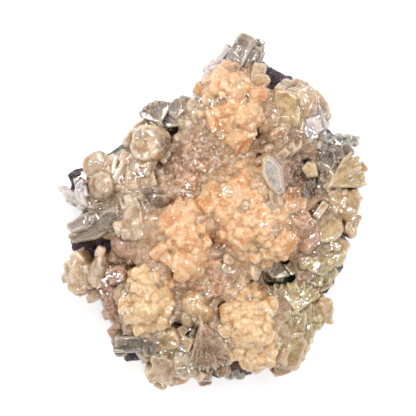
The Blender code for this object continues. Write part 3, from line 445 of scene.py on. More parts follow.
def with_marks_and_highlights(wire, colour, frosted, shade):
    """The body colour with the crystal's own tone, the marks of its growth and a painted highlight
    on its edges.
    """
    how = wire.how
    grey = wire.node("CombineColor")
    tone = wire.span(wire.fact("tone"), 0.0, 1.0, *TONES)
    for channel in range(3):
        wire.put(grey.inputs[channel], tone)
    colour = wire.mix(1.0, colour, grey.outputs[0], "MULTIPLY")
    # Pale growth lines, partly standing for painted reflections off cleavage planes
    colour = wire.glaze(colour, wire.growth, 0.56, 0.68, how["streak"], frosted)
    colour = wire.glaze(colour, wire.growth, 0.45, 0.34, how["streak"] * 0.9, shade)
    # Painted white highlight where faces meet outwards
    colour = wire.glaze(colour, wire.edge, 0.15, 0.80, how["frost"], frosted)
    colour = wire.glaze(colour, wire.specks, 0.51, 0.66, how["grainy"], frosted)
    return wire.glaze(colour, wire.specks, 0.48, 0.34, how["mottle"], shade)


def with_painted_side_reflections(wire, colour, left, right):
    """A painted reflection: another tint where a bevel faces left, and one where it faces right."""
    across = wire.node("SeparateXYZ", Vector=wire.node("NewGeometry").outputs["Normal"]).outputs[0]
    colour = wire.glaze(colour, across, -0.22, -0.42, 0.85, left)
    return wire.glaze(colour, across, 0.12, 0.34, 0.75, right)


print("tones of single crystals:", TONES)

# %% [markdown]
# ## The whole finish of a crystal
#
# The body is part scattering and part glass. Subsurface scattering gives the milky glow, and red
# light goes deepest, which warms the creases. Clear crystals also let light straight through: that
# is plain transmission with a refractive index of 1.5, and an absorption that makes 14 mm of
# crystal look smoky. Iron stains turn the four colours towards orange, where the specimen is warm.

# %% A crystal finish
# The iron stain's orange for the body, the painted light of the tips, the painted shade between
# crystals and the painted shade in hollows
STAIN_WITH_PAINTED_LIGHT_AND_SHADE = (seen(226, 172, 114), seen(246, 212, 166), seen(214, 138, 72), seen(168, 104, 52))
SMOKE = seen(240, 228, 206)
SMOKE_DEPTH = 14.0
SMOKY_FROM = 0.25


def set_body(wire):
    """How light goes into the crystal and comes back."""
    how, shader = wire.how, wire.shader
    wire.put(shader.inputs["Roughness"], wire.span(wire.veils, 0.35, 0.65, *how["rough"]))
    shader.inputs["IOR"].default_value = 1.50
    shader.inputs["Specular IOR Level"].default_value = how["lustre"]
    shader.inputs["Subsurface Weight"].default_value = 0.8
    shader.inputs["Subsurface Radius"].default_value = (1.0, 0.55, 0.28)
    shader.inputs["Subsurface Scale"].default_value = how["glow"] * MM
    shader.inputs["Transmission Weight"].default_value = how["clear"]
    if how["clear"] > SMOKY_FROM:
        depth = wire.node("VolumeAbsorption")
        depth.inputs["Color"].default_value = SMOKE
        depth.inputs["Density"].default_value = 1.0 / (SMOKE_DEPTH * MM)
        wire.put(wire.tree.nodes["Material Output"].inputs["Volume"], depth.outputs["Volume"])


def crystal_finish(name, milk, tip, shade, cavern, **how):
    """Milky crystal with painted light on its tips, painted highlights on its edges, painted warm
    shade in its crevices, and streaks along its own axes.
    """
    wire = CrystalGlazing(name, how)
    heat = wire.span(wire.fact("warmth"), 0.05, 1.0, 0.0, wire.how["stain"])
    milk, tip, shade, cavern = (wire.mix(heat, own, stained)
                                for own, stained in zip((milk, tip, shade, cavern), STAIN_WITH_PAINTED_LIGHT_AND_SHADE))
    colour = colour_with_painted_light_and_shade(wire, milk, tip, shade, cavern)
    colour = with_marks_and_highlights(wire, colour, wire.mix(0.5, tip, PALE_MARKS_AND_HIGHLIGHT), shade)
    if wire.how["sides"]:
        colour = with_painted_side_reflections(wire, colour, *wire.how["sides"])
    wire.put(wire.shader.inputs["Base Color"], colour)
    set_body(wire)
    ridges = wire.bump(wire.growth, 0.06, 0.25 * MM, wire.facets(FACET_SCALE, wire.how["glitter"]))
    wire.put(wire.shader.inputs["Normal"], wire.bump(wire.specks, 0.08, 0.12 * MM, ridges))
    return wire.material


print("refractive index 1.5, smoky after", SMOKE_DEPTH, "mm")

# %% [markdown]
# ## The shape of one crystal
#
# A crystal is an outline that is lofted from its root to its end face: a six-sided block, a long
# blade, the coffin, a wedge in a fan. The ends say how the outline shrinks towards the tip: sharp
# for a cleaved plate, a bevel for a clear crystal, a hump or a dome for a swollen one. Bevelled
# boxes would all stay boxes.

# %% Outlines and ends
def even_sided(sides):
    """An outline with equal sides, one unit wide."""
    turns = [math.tau * side / sides for side in range(sides)]
    return [(0.5 * math.cos(turn), 0.5 * math.sin(turn)) for turn in turns]


OUTLINES = {
    "block": [(0.5, 0.28), (0.30, 0.5), (-0.48, 0.47), (-0.5, -0.30), (-0.30, -0.5), (0.47, -0.48)],
    "knob": [(0.5, 0.5), (-0.5, 0.5), (-0.5, -0.5), (0.5, -0.5)],
    "coffin": [(0.5, 0.10), (0.28, 0.42), (0.06, 0.5), (-0.20, 0.48),
               (-0.5, 0.12), (-0.40, -0.24), (-0.12, -0.5), (0.22, -0.46)],
    "blade": [(0.5, 0.05), (0.06, 0.5), (-0.36, 0.33), (-0.5, -0.06), (-0.28, -0.5), (0.28, -0.5)],
    "pentagon": [(0.5, 0.22), (0.02, 0.5), (-0.5, 0.25), (-0.36, -0.40), (0.38, -0.5)],
    "wedge": [(0.5, 0.32), (0.04, 0.5), (-0.5, 0.33), (-0.16, -0.5), (0.16, -0.5)],
    "crescent": [(0.30, 0.5), (-0.30, 0.30), (-0.50, -0.06), (-0.24, -0.42), (0.12, -0.5),
                 (0.16, 0.02)],
    "point": [(0.5, -0.34), (0.40, 0.06), (0.04, 0.5), (-0.30, 0.14), (-0.5, -0.30), (-0.2, -0.5),
              (0.3, -0.5)],
    "round": even_sided(9),
    "hexagon": even_sided(6),
}
# How far below the tip, in half widths, and how wide the outline is there
ENDS = {
    "flat": [(0.0, 0.70), (0.06, 0.84), (0.16, 0.94), (0.34, 1.0)],
    "hump": [(0.0, 0.26), (0.04, 0.46), (0.12, 0.66), (0.28, 0.84), (0.60, 1.0)],
    "bevel": [(0.0, 0.74), (0.14, 0.92), (0.36, 1.0)],
    "sharp": [(0.0, 0.92), (0.10, 1.0)],
    "dome": [(0.0, 0.22), (0.04, 0.40), (0.13, 0.62), (0.30, 0.82), (0.70, 1.0)],
    "bulge": [(0.0, 0.58), (0.22, 0.86), (0.75, 1.0)],
}
print("outlines:", sorted(OUTLINES), "ends:", sorted(ENDS))

# %% [markdown]
# ## Where a crystal stands
#
# Each crystal is written down as it is seen in the photograph: the middle of its end face, how high
# that is, its width and length, and its turn. Its lean follows from its place, as all crystals have
# grown away from the middle. A ray from its end face back to the packed rock gives its length.

# %% One crystal
MIDDLE = Vector((0.31, -0.15, 0.0))
RIM_RADIUS = 50.0
LEAN_AT_RIM = 26.0
FULLNESS = 1.14
ROOT_DEPTH = 1.0
FREE_DEPTH = 7.0
FOOT = 0.9
SHORTEST = 0.8


def tree_of(node):
    """A packed node's surface in millimetres, ready for rays."""
    mesh = frame["nodes"][node].data
    points = [corner.co / MM for corner in mesh.vertices]
    return BVHTree.FromPolygons(points, [tuple(face.vertices) for face in mesh.polygons])


rock_tree = tree_of("basalt_matrix")


class Crystal:
    """One crystal: where its end face is, how big it is, and which way it grew."""

    def __init__(self, x, y, top, wide, long, turn=0.0, outline="block", end="flat",
                 lean=None, toward=None, deep=None, foot=FOOT):
        distance = min(1.0, math.hypot(x, y) / RIM_RADIUS)
        lean = LEAN_AT_RIM * distance ** 1.5 if lean is None else lean
        toward = math.degrees(math.atan2(y, x)) if toward is None else toward
        aim = math.radians(toward)
        hinge = Vector((-math.sin(aim), math.cos(aim), 0.0))
        spin = Matrix.Rotation(math.radians(turn), 3, "Z")
        axes = Matrix.Rotation(math.radians(lean), 3, hinge) @ spin
        place = Vector((x, y, top)) - MIDDLE
        if deep is None:
            _, _, _, deep = rock_tree.ray_cast(place, -axes.col[2])
            deep = FREE_DEPTH if deep is None else deep + ROOT_DEPTH
        self.set(place, axes, wide * FULLNESS, long * FULLNESS, outline, ENDS[end], deep, foot)

    def set(self, place, axes, wide, long, outline, end, deep, foot):
        """Everything that is known of the crystal in the end."""
        self.place, self.axes, self.wide, self.long = place, axes, wide, long
        self.outline, self.end, self.deep, self.foot = OUTLINES[outline], end, deep, foot
        return self

    def rings(self):
        """The outline's places and sizes, from the foot up to the end face."""
        half = 0.25 * (self.wide + self.long)
        rings = [(drop * half, scale) for drop, scale in self.end]
        rings.append((max(self.deep, rings[-1][0] + SHORTEST), self.foot))
        return reversed(rings)


def bare_crystal(*facts):
    """A crystal whose place and axes are known already."""
    return Crystal.__new__(Crystal).set(*facts)


print("rock faces for the rays:", len(frame["nodes"]["basalt_matrix"].data.polygons))

# %% [markdown]
# ## Small crystals on the shoulders of large ones
#
# Smaller crystals grow on a large one's shoulders, nearly parallel to it, and break its edge.
# Scattered at random they would look like gravel. So each is a child of its large crystal: it takes
# its parent's axes with a small tilt, and sits near a corner, a little below the end face.

# %% A child
CHILD_OUT = (0.60, 0.95)
CHILD_HEIGHT = (-2.2, -0.2)
CHILD_SHARE = (0.18, 0.42)
CHILD_STRETCH = (0.7, 1.4)
CHILD_LEAST, CHILD_MOST = 1.0, 3.8
CHILD_TILT, CHILD_TURN = 0.16, 0.25


def child_of(parent):
    """A small crystal, nearly parallel to a large one, on its shoulder."""
    def size_of(side):
        return min(CHILD_MOST, max(CHILD_LEAST, side * share * chance.uniform(*CHILD_STRETCH)))

    corner = chance.choice(parent.outline)
    out = chance.uniform(*CHILD_OUT)
    place = Vector((corner[0] * parent.wide * out, corner[1] * parent.long * out, 0.0))
    place.z = chance.uniform(*CHILD_HEIGHT)
    tilt = Euler((chance.gauss(0.0, CHILD_TILT), chance.gauss(0.0, CHILD_TILT),
                  chance.gauss(0.0, CHILD_TURN)))
    share = chance.uniform(*CHILD_SHARE)
    wide, long = size_of(parent.wide), size_of(parent.long)
    outline = chance.choice(["block", "knob", "blade", "block"])
    return bare_crystal(parent.place + parent.axes @ place, parent.axes @ tilt.to_matrix(), wide,
                        long, outline, parent.end, 2.2 + 0.6 * (wide + long), FOOT)


print("children are", CHILD_LEAST, "to", CHILD_MOST, "mm wide")

# %% [markdown]
# ## Kinds of crystal, and fans
#
# Five kinds come again and again on the specimen: swollen blocks, thin slabs, round lumps, barrels
# with a six-sided end, and bevelled plates. A short name for each keeps the tables below easy to
# read. A fan is a row of wedges from one root with their tips along an arc. It could be one
# scalloped plate with painted stripes, but then its rim would have no teeth.

# %% Short names, and the fan
FAN_MIDDLE = 0.46
FAN_STEP, FAN_SHORTER, FAN_SPREAD = 0.25, 0.05, 1.5
FAN_FOOT = 0.86


def kind(outline, usual_end):
    """A short way to make one kind of crystal."""
    def make(x, y, top, wide, long, turn=0.0, end=usual_end, **ways):
        return Crystal(x, y, top, wide, long, turn, outline, end, **ways)
    return make


block, slab = kind("block", "hump"), kind("knob", "sharp")
lump, barrel = kind("round", "dome"), kind("hexagon", "bulge")


def plate(x, y, top, wide, long, turn=0.0, outline="coffin", end="bevel", **ways):
    return Crystal(x, y, top, wide, long, turn, outline, end, **ways)


def fan(x, y, top, reach, first, last, count, wide, dip=12.0, deep=7.0):
    """Blades that spread from one root, with their tips along an arc."""
    blades = []
    for number in range(count):
        angle = first + (last - first) * (number + 0.5) / count
        long = reach * (1.0 - FAN_SHORTER * (number % 2))
        along = Vector((math.cos(math.radians(angle)), math.sin(math.radians(angle))))
        middle = Vector((x, y)) + along * FAN_MIDDLE * long
        height = top - 0.5 * long * math.sin(math.radians(dip)) - FAN_STEP * (number % 2)
        blades.append(Crystal(middle.x, middle.y, height, wide, long, angle - 90.0, "wedge",
                              "flat", lean=dip + FAN_SPREAD * (number % 3), toward=angle,
                              deep=deep, foot=FAN_FOOT))
    return blades


print("a fan of", len(fan(0.0, 0.0, 20.0, 10.0, 0.0, 60.0, 11, 2.0)), "blades can be made")

# %% [markdown]
# ## Smooth noise
#
# Waves on a face, heaps in a druse and the broken rock need soft, random swelling that is the same
# every time. Blender's textures can be asked point by point, which is slow for half a million
# points. Here each corner of a cubic lattice gets a number scrambled from its place, and the
# numbers are blended in between for all points at once.

# %% A cloud of noise
LATTICE_KEYS = np.array([73856093, 19349663, 83492791])
SEED_STRIDE = 17.13


def cloud(points, size, seed):
    """Smooth noise from -1 to 1 at many points at once."""
    scaled = points / size + seed * SEED_STRIDE
    cell = np.floor(scaled).astype(np.int64)
    part = scaled - cell
    part = part * part * (3.0 - 2.0 * part)
    total = np.zeros(len(points))
    for corner in np.ndindex(2, 2, 2):
        key = (cell + corner) @ LATTICE_KEYS
        key = (key ^ (key >> 13)) * 1274126177 & 0x7FFFFFFF
        value = (key ^ (key >> 16)) % 65536 / 32767.5 - 1.0
        weight = np.prod(np.where(corner, part, 1.0 - part), axis=1)
        total += value * weight
    return total


print("noise at one point:", cloud(np.array([[1.0, 2.0, 3.0]]), 2.2, 5).round(3))

# %% [markdown]
# ## Where the stone is orange, and where it is dark
#
# Iron has stained the mounds and hardly touched the rim. Elsewhere the stone is dark: partly where
# clear crystal lies thinly on black rock, and partly by painted shade in shadowed bands and
# hollows. Painting a mask would fix the marks to one mesh. Places with a width and a height, in
# the picture's millimetres, work for every piece that crosses them, and a little noise keeps their
# borders from being ellipses.

# %% Warm places, and dark places that are partly painted shade
# Middle, half width and half height, and strength
WARM_PLACES = [
    (11.5, 0.5, 19.0, 16.5, 1.0), (-9.0, -7.5, 12.5, 14.0, 0.95), (6.5, 30.5, 10.5, 13.0, 1.0),
    (0.0, 14.0, 16.0, 10.0, 0.30), (11.0, -34.5, 11.5, 14.0, 0.45),
    (-20.0, -26.0, 11.0, 12.0, 0.30), (18.5, 23.0, 6.0, 5.0, 0.35),
    (0.0, -20.0, 14.0, 8.0, 0.35),
]
DARK_AND_SHADED_PLACES = [
    (25.8, 10.2, 6.4, 8.4, 0.88), (31.2, 12.2, 2.4, 3.8, 0.95), (30.6, 7.7, 5.4, 3.2, 0.80),
    (23.4, 5.8, 3.4, 6.0, 0.55), (34.8, 16.7, 7.0, 5.0, 0.55), (24.0, 22.7, 3.6, 2.6, 0.65),
    (-12.6, 15.8, 4.5, 7.0, 0.55), (0.0, 17.0, 10.0, 5.0, 0.50), (-16.5, 30.5, 5.5, 3.2, 0.45),
    (6.0, 46.2, 3.2, 5.0, 0.35), (16.8, 20.2, 6.0, 5.0, 0.50), (-16.8, 2.0, 4.8, 4.2, 0.55),
    (-21.3, 3.2, 2.4, 2.4, 0.65), (-30.7, 4.0, 4.2, 4.2, 0.65), (14.5, -22.5, 3.8, 3.6, 0.85),
    (23.4, -18.5, 5.0, 4.2, 0.65), (-11.0, -32.5, 2.8, 3.6, 0.65),
    (-7.3, -36.0, 2.2, 2.6, 0.85), (-3.0, -44.0, 5.0, 5.0, 0.35),
    (-14.0, -40.0, 5.0, 5.0, 0.40), (-24.0, -42.0, 7.0, 4.0, 0.35),
    (33.3, -21.0, 5.0, 3.0, 0.55), (35.0, -10.5, 4.0, 1.8, 0.45), (20.0, -17.8, 5.0, 3.4, 0.70),
    (21.6, -26.2, 1.8, 4.0, 0.55), (8.4, 42.7, 3.6, 1.8, 0.85), (32.9, 31.7, 1.8, 3.8, 0.60),
    (-14.5, 27.0, 1.8, 2.8, 0.95), (-14.0, 20.5, 1.6, 3.2, 0.90), (-10.6, 24.6, 2.0, 1.4, 0.85),
    (-34.0, -17.5, 3.0, 4.0, 0.40), (-33.0, 19.0, 3.0, 2.0, 0.50),
    (-42.5, 10.5, 2.6, 4.0, 0.75), (-35.0, 1.5, 2.0, 2.6, 0.70), (-29.0, 19.5, 5.0, 2.0, 0.55),
    (10.5, -48.0, 4.0, 2.4, 0.60), (18.0, -47.0, 2.6, 2.0, 0.60), (40.5, 2.0, 2.0, 3.0, 0.40),
    (-39.0, 8.0, 2.2, 1.6, 0.50), (6.0, -18.5, 4.0, 2.4, 0.35),
]


def share_from(points, x, y, wide, tall):
    """How far points are from a place: 0 in its middle and 1 on its border."""
    return np.hypot((points[:, 0] + MIDDLE.x - x) / wide, (points[:, 1] + MIDDLE.y - y) / tall)


def gloom_at(points):
    """How dark the stone is at each point, from 0 to 1: thin crystal over black rock, and painted
    shade.
    """
    light = np.ones(len(points))
    uneven = 1.0 + 0.28 * cloud(points * (1.0, 1.0, 0.0), 2.4, 23)
    for *place, strength in DARK_AND_SHADED_PLACES:
        light *= 1.0 - strength * np.exp(-(share_from(points, *place) * uneven) ** 3)
    return 1.0 - light


def warmth_at(points):
    """How orange the stone is at each point, from 0 to 1."""
    cold = np.ones(len(points))
    uneven = 1.0 + 0.12 * cloud(points * (1.0, 1.0, 0.0), 5.0, 21)
    for *place, strength in WARM_PLACES:
        cold *= 1.0 - strength * np.exp(-(share_from(points, *place) * uneven) ** 4)
    return (1.0 - cold) * np.clip(0.80 + 0.45 * cloud(points, 3.4, 24), 0.25, 1.0)


middle_point = np.array([[11.5, 0.5, 30.0]])
print("middle of the centre mound: warmth", warmth_at(middle_point).round(2),
      "gloom", gloom_at(middle_point).round(2))

# %% [markdown]
# ## Bare crystals, before they share a skin
#
# A cluster is many crystals grown into each other. First their bare lofts are collected side by
# side, and each face remembers which crystal it belongs to. Large swollen crystals have their
# outline's corners cut off and their end face a little off the middle, because no two sides of a
# real one are alike. The coffin crystal, the five-cornered face and small crystals stay exact.

# %% A cage of lofts
ROUNDED_FROM = 3.6
CORNER_CUT = 0.14
SLANT = 0.7


def rounded(outline):
    """An outline with each corner cut off."""
    corners = []
    for number, (u, v) in enumerate(outline):
        for after in (outline[number - 1], outline[(number + 1) % len(outline)]):
            corners.append(((1.0 - CORNER_CUT) * u + CORNER_CUT * after[0],
                            (1.0 - CORNER_CUT) * v + CORNER_CUT * after[1]))
    return corners


class Cage:
    """Bare crystals side by side, before they are wrapped."""

    def __init__(self):
        self.points, self.faces, self.owners, self.crystals = [], [], [], []

    def own(self, crystal, faces):
        """Take in a crystal's faces, and remember whose they are."""
        self.faces += faces
        self.owners += [len(self.crystals)] * len(faces)
        self.crystals.append(crystal)

    def add(self, crystal):
        clean = (crystal.outline in (OUTLINES["coffin"], OUTLINES["pentagon"])
                 or crystal.wide < ROUNDED_FROM)
        outline = crystal.outline if clean else rounded(crystal.outline)
        start, sides = len(self.points), len(outline)
        slant = Vector((chance.uniform(-SLANT, SLANT), chance.uniform(-SLANT, SLANT)))
        slant *= 0.0 if clean else 1.0
        rings = list(crystal.rings())
        for number, (drop, scale) in enumerate(rings):
            shift = slant * max(0.0, 1.0 - scale) if number else Vector((0.0, 0.0))
            for u, v in outline:
                local = Vector(((u * scale + shift.x) * crystal.wide,
                                (v * scale + shift.y) * crystal.long, -drop))
                self.points.append(crystal.place + crystal.axes @ local)
        faces = [tuple(range(start + sides - 1, start - 1, -1))]
        for low in range(start, start + (len(rings) - 1) * sides, sides):
            for side in range(sides):
                after = (side + 1) % sides
                faces.append((low + side, low + after, low + sides + after, low + sides + side))
        top = start + (len(rings) - 1) * sides
        self.own(crystal, faces + [tuple(range(top, top + sides))])

    def add_mesh(self, mesh, sunk=0.0):
        """A packed solid, a little smaller all round, as the body that the crystals sit on."""
        start = len(self.points)
        self.points += [corner.co / MM - corner.normal * sunk for corner in mesh.vertices]
        self.own(None, [tuple(start + c for c in face.vertices) for face in mesh.polygons])


print("corners of a rounded block:", len(rounded(OUTLINES["block"])))

# %% [markdown]
# ## One skin for a whole piece
#
# Crystals that have grown together share one surface. Joining them with Booleans would leave
# hairline slivers, and left as they are they would run through each other. So they are wrapped in
# a voxel remesh, as if they were dipped in a thin film. The film is 0.4 mm fine, a little more than
# one pixel of the photograph, and a few rounds of smoothing take its steps away.

# %% The film
FILM = 0.41


def wrapped(cage, film, soft):
    """The cage's outer skin as a mesh, in millimetres."""
    bare = bpy.data.meshes.new("bare")
    bare.from_pydata(cage.points, [], cage.faces)
    item = bpy.data.objects.new("bare", bare)
    bpy.context.scene.collection.objects.link(item)
    remesh = item.modifiers.new("film", "REMESH")
    remesh.mode = "VOXEL"
    remesh.voxel_size = film
    remesh.use_smooth_shade = True
    smooth = item.modifiers.new("soft", "SMOOTH")
    smooth.factor = 0.5
    smooth.iterations = soft
    graph = bpy.context.evaluated_depsgraph_get()
    graph.update()
    mesh = bpy.data.meshes.new_from_object(item.evaluated_get(graph))
    bpy.data.objects.remove(item)
    bpy.data.meshes.remove(bare)
    return mesh


print("film:", FILM, "mm")

# %% [markdown]
# ## Whose point is it?
#
# A remesh forgets which crystal a point came from. So each point looks for the nearest face of the
# bare crystals, and takes over that crystal's number. It is also pulled back onto that face by a
# share (crisp), which makes flat faces flat again. In a crease, where the skin faces another way
# than the nearest face, it is left alone.

# %% Owners, grain and rise
LEAST_AGREEMENT = 0.35
GRAIN_STRIDE = 3.7


def sorted_out(cage, points, normals, crisp):
    """For each point its crystal's number, the way that its face looks, and its new place."""
    bare = BVHTree.FromPolygons(cage.points, cage.faces)
    nearest = [bare.find_nearest(Vector(point)) for point in points]
    owner = np.array([cage.owners[face] for _, _, face, _ in nearest])
    flats = np.array([normal for _, normal, _, _ in nearest])
    unlike = np.sum(flats * normals, axis=1) < LEAST_AGREEMENT
    flats[unlike] = normals[unlike]
    spots = np.array([spot for spot, _, _, _ in nearest])
    pull = np.where(unlike, 0.0, crisp)[:, None]
    return owner, flats, points * (1.0 - pull) + spots * pull


def grain_and_rise(cage, owner, points, reach):
    """Each point in its own crystal's axes, and how near it is to the crystal's tip."""
    grain = points.copy()
    rise = np.full(len(points), 0.5)
    for number, crystal in enumerate(cage.crystals):
        mine = owner == number
        if crystal is None or not mine.any():
            continue
        local = (points[mine] - np.array(crystal.place)) @ np.array(crystal.axes)
        rise[mine] = np.clip(1.0 + local[:, 2] / reach, 0.0, 1.0)
        grain[mine] = local + GRAIN_STRIDE * number
    return grain, rise


print("faces count as unlike beyond", round(math.degrees(math.acos(LEAST_AGREEMENT))), "degrees")

# %% [markdown]
# ## Facts that a mesh carries
#
# The finishes read facts from the mesh, and the mesh keeps them as attributes, one value for each
# point. The edge fact is measured: a point that stands further out than the middle of its
# neighbours is on an edge, and one that lies further in is in a crease. A bevel node could find
# edges while rendering, but it costs far more and knows nothing of creases.

# %% Reading and writing a mesh
EDGE_BEND = 0.10
BEND_ROUNDS = 2


def read(mesh, what):
    """The places or the normals of all points."""
    source, name = (mesh.vertices, "co") if what == "places" else (mesh.vertex_normals, "vector")
    values = np.empty(len(mesh.vertices) * 3, np.float32)
    source.foreach_get(name, values)
    return values.reshape(-1, 3).astype(float)


def write_places(mesh, points):
    mesh.vertices.foreach_set("co", (points * MM).astype(np.float32).ravel())
    mesh.update()


def write_facts(mesh, **facts):
    """Keep facts on the mesh, by name: one number or one vector for each point."""
    for name, values in facts.items():
        kind, field = ("FLOAT", "value") if values.ndim == 1 else ("FLOAT_VECTOR", "vector")
        layer = mesh.attributes.new(name, kind, "POINT")
        layer.data.foreach_set(field, values.astype(np.float32).ravel())


def standing_out(mesh, points, normals, film):
    """Above 0 on an edge and below 0 in a crease, from each point's neighbours."""
    pairs = np.empty(len(mesh.edges) * 2, np.int32)
    mesh.edges.foreach_get("vertices", pairs)
    ends = np.concatenate([pairs[0::2], pairs[1::2]])
    others = np.concatenate([pairs[1::2], pairs[0::2]])
    count = np.maximum(np.bincount(ends, minlength=len(points)), 1)

    def middle(values):
        return np.bincount(ends, weights=values[others], minlength=len(points)) / count

    bend = sum((points[:, axis] - middle(points[:, axis])) * normals[:, axis] for axis in range(3))
    for _ in range(BEND_ROUNDS):
        bend = 0.5 * bend + 0.5 * middle(bend)
    return np.clip(bend / (EDGE_BEND * film), -1.0, 1.0)


print("an edge counts in full when it stands out", EDGE_BEND, "of the film's fineness")

# %% [markdown]
# ## Growing a piece
#
# Now a piece can be grown from a list of crystals: they get their children, are wrapped in one
# skin, and their growth lines and waves are pressed into it as real relief. A bump alone would
# vanish at the outline, where the photograph shows every ripple. The finished piece rides on the
# specimen's one body and takes its node's place.

# %% Grow
BASE_SUNK = 0.9
SKIN_GROWTH = 0.12
RELIEF_STRETCH = 0.8
WAVE_SIZE = 2.2
FLOOR_GAP, HEADROOM = 0.05, 0.8
grown = []


def set_piece(name, node, mesh, finish, slot):
    """Put a mesh in the scene, with its finish, on the body and in its node's place; the slot is
    not used.
    """
    mesh.materials.clear()
    mesh.materials.append(finish)
    piece = bpy.data.objects.new(name, mesh)
    bpy.context.scene.collection.objects.link(piece)
    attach(piece, "root")
    if node in frame["nodes"]:
        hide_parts(node)
    return piece


def grow(node, slot, finish, crystals, children=6, film=FILM, soft=3, relief=0.04, waves=0.10,
         crisp=0.5, base=None, reach=6.0, gloom=1.0, warm=1.0):
    """Wrap crystals in one skin, press in their growth lines, and put them where the node is."""
    cage = Cage()
    if base is not None:
        cage.add_mesh(frame["nodes"][node].data, base)
    for crystal in crystals:
        cage.add(crystal)
        for _ in range(children if crystal.outline is not OUTLINES["round"] else 0):
            cage.add(child_of(crystal))
    mesh = wrapped(cage, film, soft)
    normals = read(mesh, "normals")
    owner, flats, points = sorted_out(cage, read(mesh, "places"), normals, crisp)
    tones = np.array([chance.random() for _ in cage.crystals])
    grain, rise = grain_and_rise(cage, owner, points, reach)
    lines = cloud(grain * np.array(LINES_ACROSS) * RELIEF_STRETCH, 1.0, 3)
    swelling = SKIN_GROWTH + relief * lines + waves * cloud(points, WAVE_SIZE, 5)
    points += flats * swelling[:, None]
    points[:, 2] = np.clip(points[:, 2], FLOOR_GAP, cad_high[2] / MM + HEADROOM)
    write_places(mesh, points)
    write_facts(mesh, tone=tones[owner], grain=grain, rise=rise,
                edge=standing_out(mesh, points, read(mesh, "normals"), film),
                warmth=warmth_at(points) * warm, gloom=gloom_at(points) * gloom)
    shown = flats * crisp + normals * (1.0 - crisp)
    shown /= np.linalg.norm(shown, axis=1)[:, None]
    mesh.normals_split_custom_set_from_vertices([tuple(normal) for normal in shown])
    grown.append((set_piece(node + "_crystals", node, mesh, finish, slot), points))
    print(node, len(cage.crystals), "crystals,", 2 * len(mesh.polygons), "triangles")


print("ready to grow", len(frame["nodes"]), "nodes")

# %% [markdown]
# ## Seeds on a ground
#
# A druse is a crust of crystals that all stand on one ground, shoulder to shoulder. Its packed
# solid is the ground. Seeds are scattered over it with a least distance between them, as real
# crystals stop each other's growth. A particle system scatters too, but its copies wouldn't share
# a skin, so the places are picked here: many random tries, of which the crowded ones are dropped.

# %% Seeds
SEED_TRIES = 9
UNDERSIDE = -0.15


def seeds_on(node, spacing, dice):
    """Places and normals, spread over the open side of a packed solid."""
    mesh = frame["nodes"][node].data
    mesh.calc_loop_triangles()
    corners = np.array([corner.co / MM for corner in mesh.vertices])
    faces = np.array([triangle.vertices for triangle in mesh.loop_triangles])
    first, second, third = (corners[faces[:, i]] for i in range(3))
    normals = np.cross(second - first, third - first)
    areas = np.linalg.norm(normals, axis=1)
    normals /= np.maximum(areas, 1e-9)[:, None]
    areas = areas * (normals[:, 2] > UNDERSIDE)
    tries = int(SEED_TRIES * areas.sum() / (2.0 * spacing ** 2))
    picks = dice.choice(len(areas), tries, p=areas / areas.sum())
    u, v = np.sqrt(dice.random(tries)), dice.random(tries)
    weights = np.stack([1.0 - u, u * (1.0 - v), u * v])
    places = sum(w[:, None] * c[picks] for w, c in zip(weights, (first, second, third)))
    taken, seeds = {}, []
    for place, normal in zip(places, normals[picks]):
        cell = tuple((place // spacing).astype(int))
        near = [p for step in np.ndindex(3, 3, 3)
                for p in taken.get(tuple(np.add(cell, step) - 1), ())]
        if all(np.sum((place - p) ** 2) > spacing ** 2 for p in near):
            taken.setdefault(cell, []).append(place)
            seeds.append((place, normal))
    return seeds


print("seeds are tried", SEED_TRIES, "times for each place that they could fill")

# %% [markdown]
# ## Sowing a druse
#
# Each seed becomes a small crystal that stands on its own bit of ground, a little askew. A real
# druse swells into heaps where it grew faster, so soft noise lifts whole groups of crystals. With
# crystals of one size on an even ground it would look like a knitted cloth.

# %% Small crystals on a ground
SWELL_SCALE = 4.5
SWELL_SEED = 5
LEAST_STRETCH, LEAST_STAND = 0.8, 0.1
SMALL_DEEP, SMALL_FOOT = 1.2, 1.12


def turned(way, turn):
    """Axes whose third one points along a way, turned round it."""
    return way.to_track_quat("Z", "Y").to_matrix() @ Matrix.Rotation(turn, 3, "Z")


def sow(node, spacing, least, most, seed=1, swell=0.0, upright=0.3, askew=0.28, stand=0.45,
        shapes=("block", "knob", "hexagon"), ends=("hump", "dome", "flat"), stretch=1.25):
    """Small crystals all over the open side of a packed solid."""
    dice = np.random.default_rng(seed)
    crystals = []
    for ground, normal in seeds_on(node, spacing, dice):
        way = Vector(normal) + Vector((0.0, 0.0, upright)) + Vector(dice.normal(0.0, askew, 3))
        way.normalize()
        axes = turned(way, dice.uniform(0.0, math.tau))
        wide = dice.uniform(least, most)
        long = wide * dice.uniform(LEAST_STRETCH, stretch)
        lift = swell * float(cloud(np.array([ground]), SWELL_SCALE, SWELL_SEED)[0])
        place = Vector(ground) + way * (wide * dice.uniform(LEAST_STAND, stand) + lift)
        outline = shapes[dice.integers(len(shapes))]
        end = ENDS[ends[dice.integers(len(ends))]]
        deep = SMALL_DEEP * wide + max(lift, 0.0) + SMALL_DEEP
        crystals.append(bare_crystal(place, axes, wide, long, outline, end, deep, SMALL_FOOT))
    return crystals


print("heaps are about", 2.0 * SWELL_SCALE, "mm apart")

# %% [markdown]
# ## The basalt's finish
#
# The matrix is a dark purple-brown basalt, full of grains of feldspar, with ochre stains. Where
# water has been, it is green with celadonite. A photograph of rock could be wrapped round it, but
# it would stretch on the flanks. Noises of five sizes, read in space, fit any shape.

# %% A basalt finish
BASALT_DARK = seen(44, 34, 38)
BASALT_BODY = seen(96, 78, 86)
BASALT_GRAIN = seen(190, 174, 182)
CELADONITE = seen(120, 142, 122)
CELADONITE_DARK = seen(66, 82, 68)
OCHRE = seen(140, 98, 70)
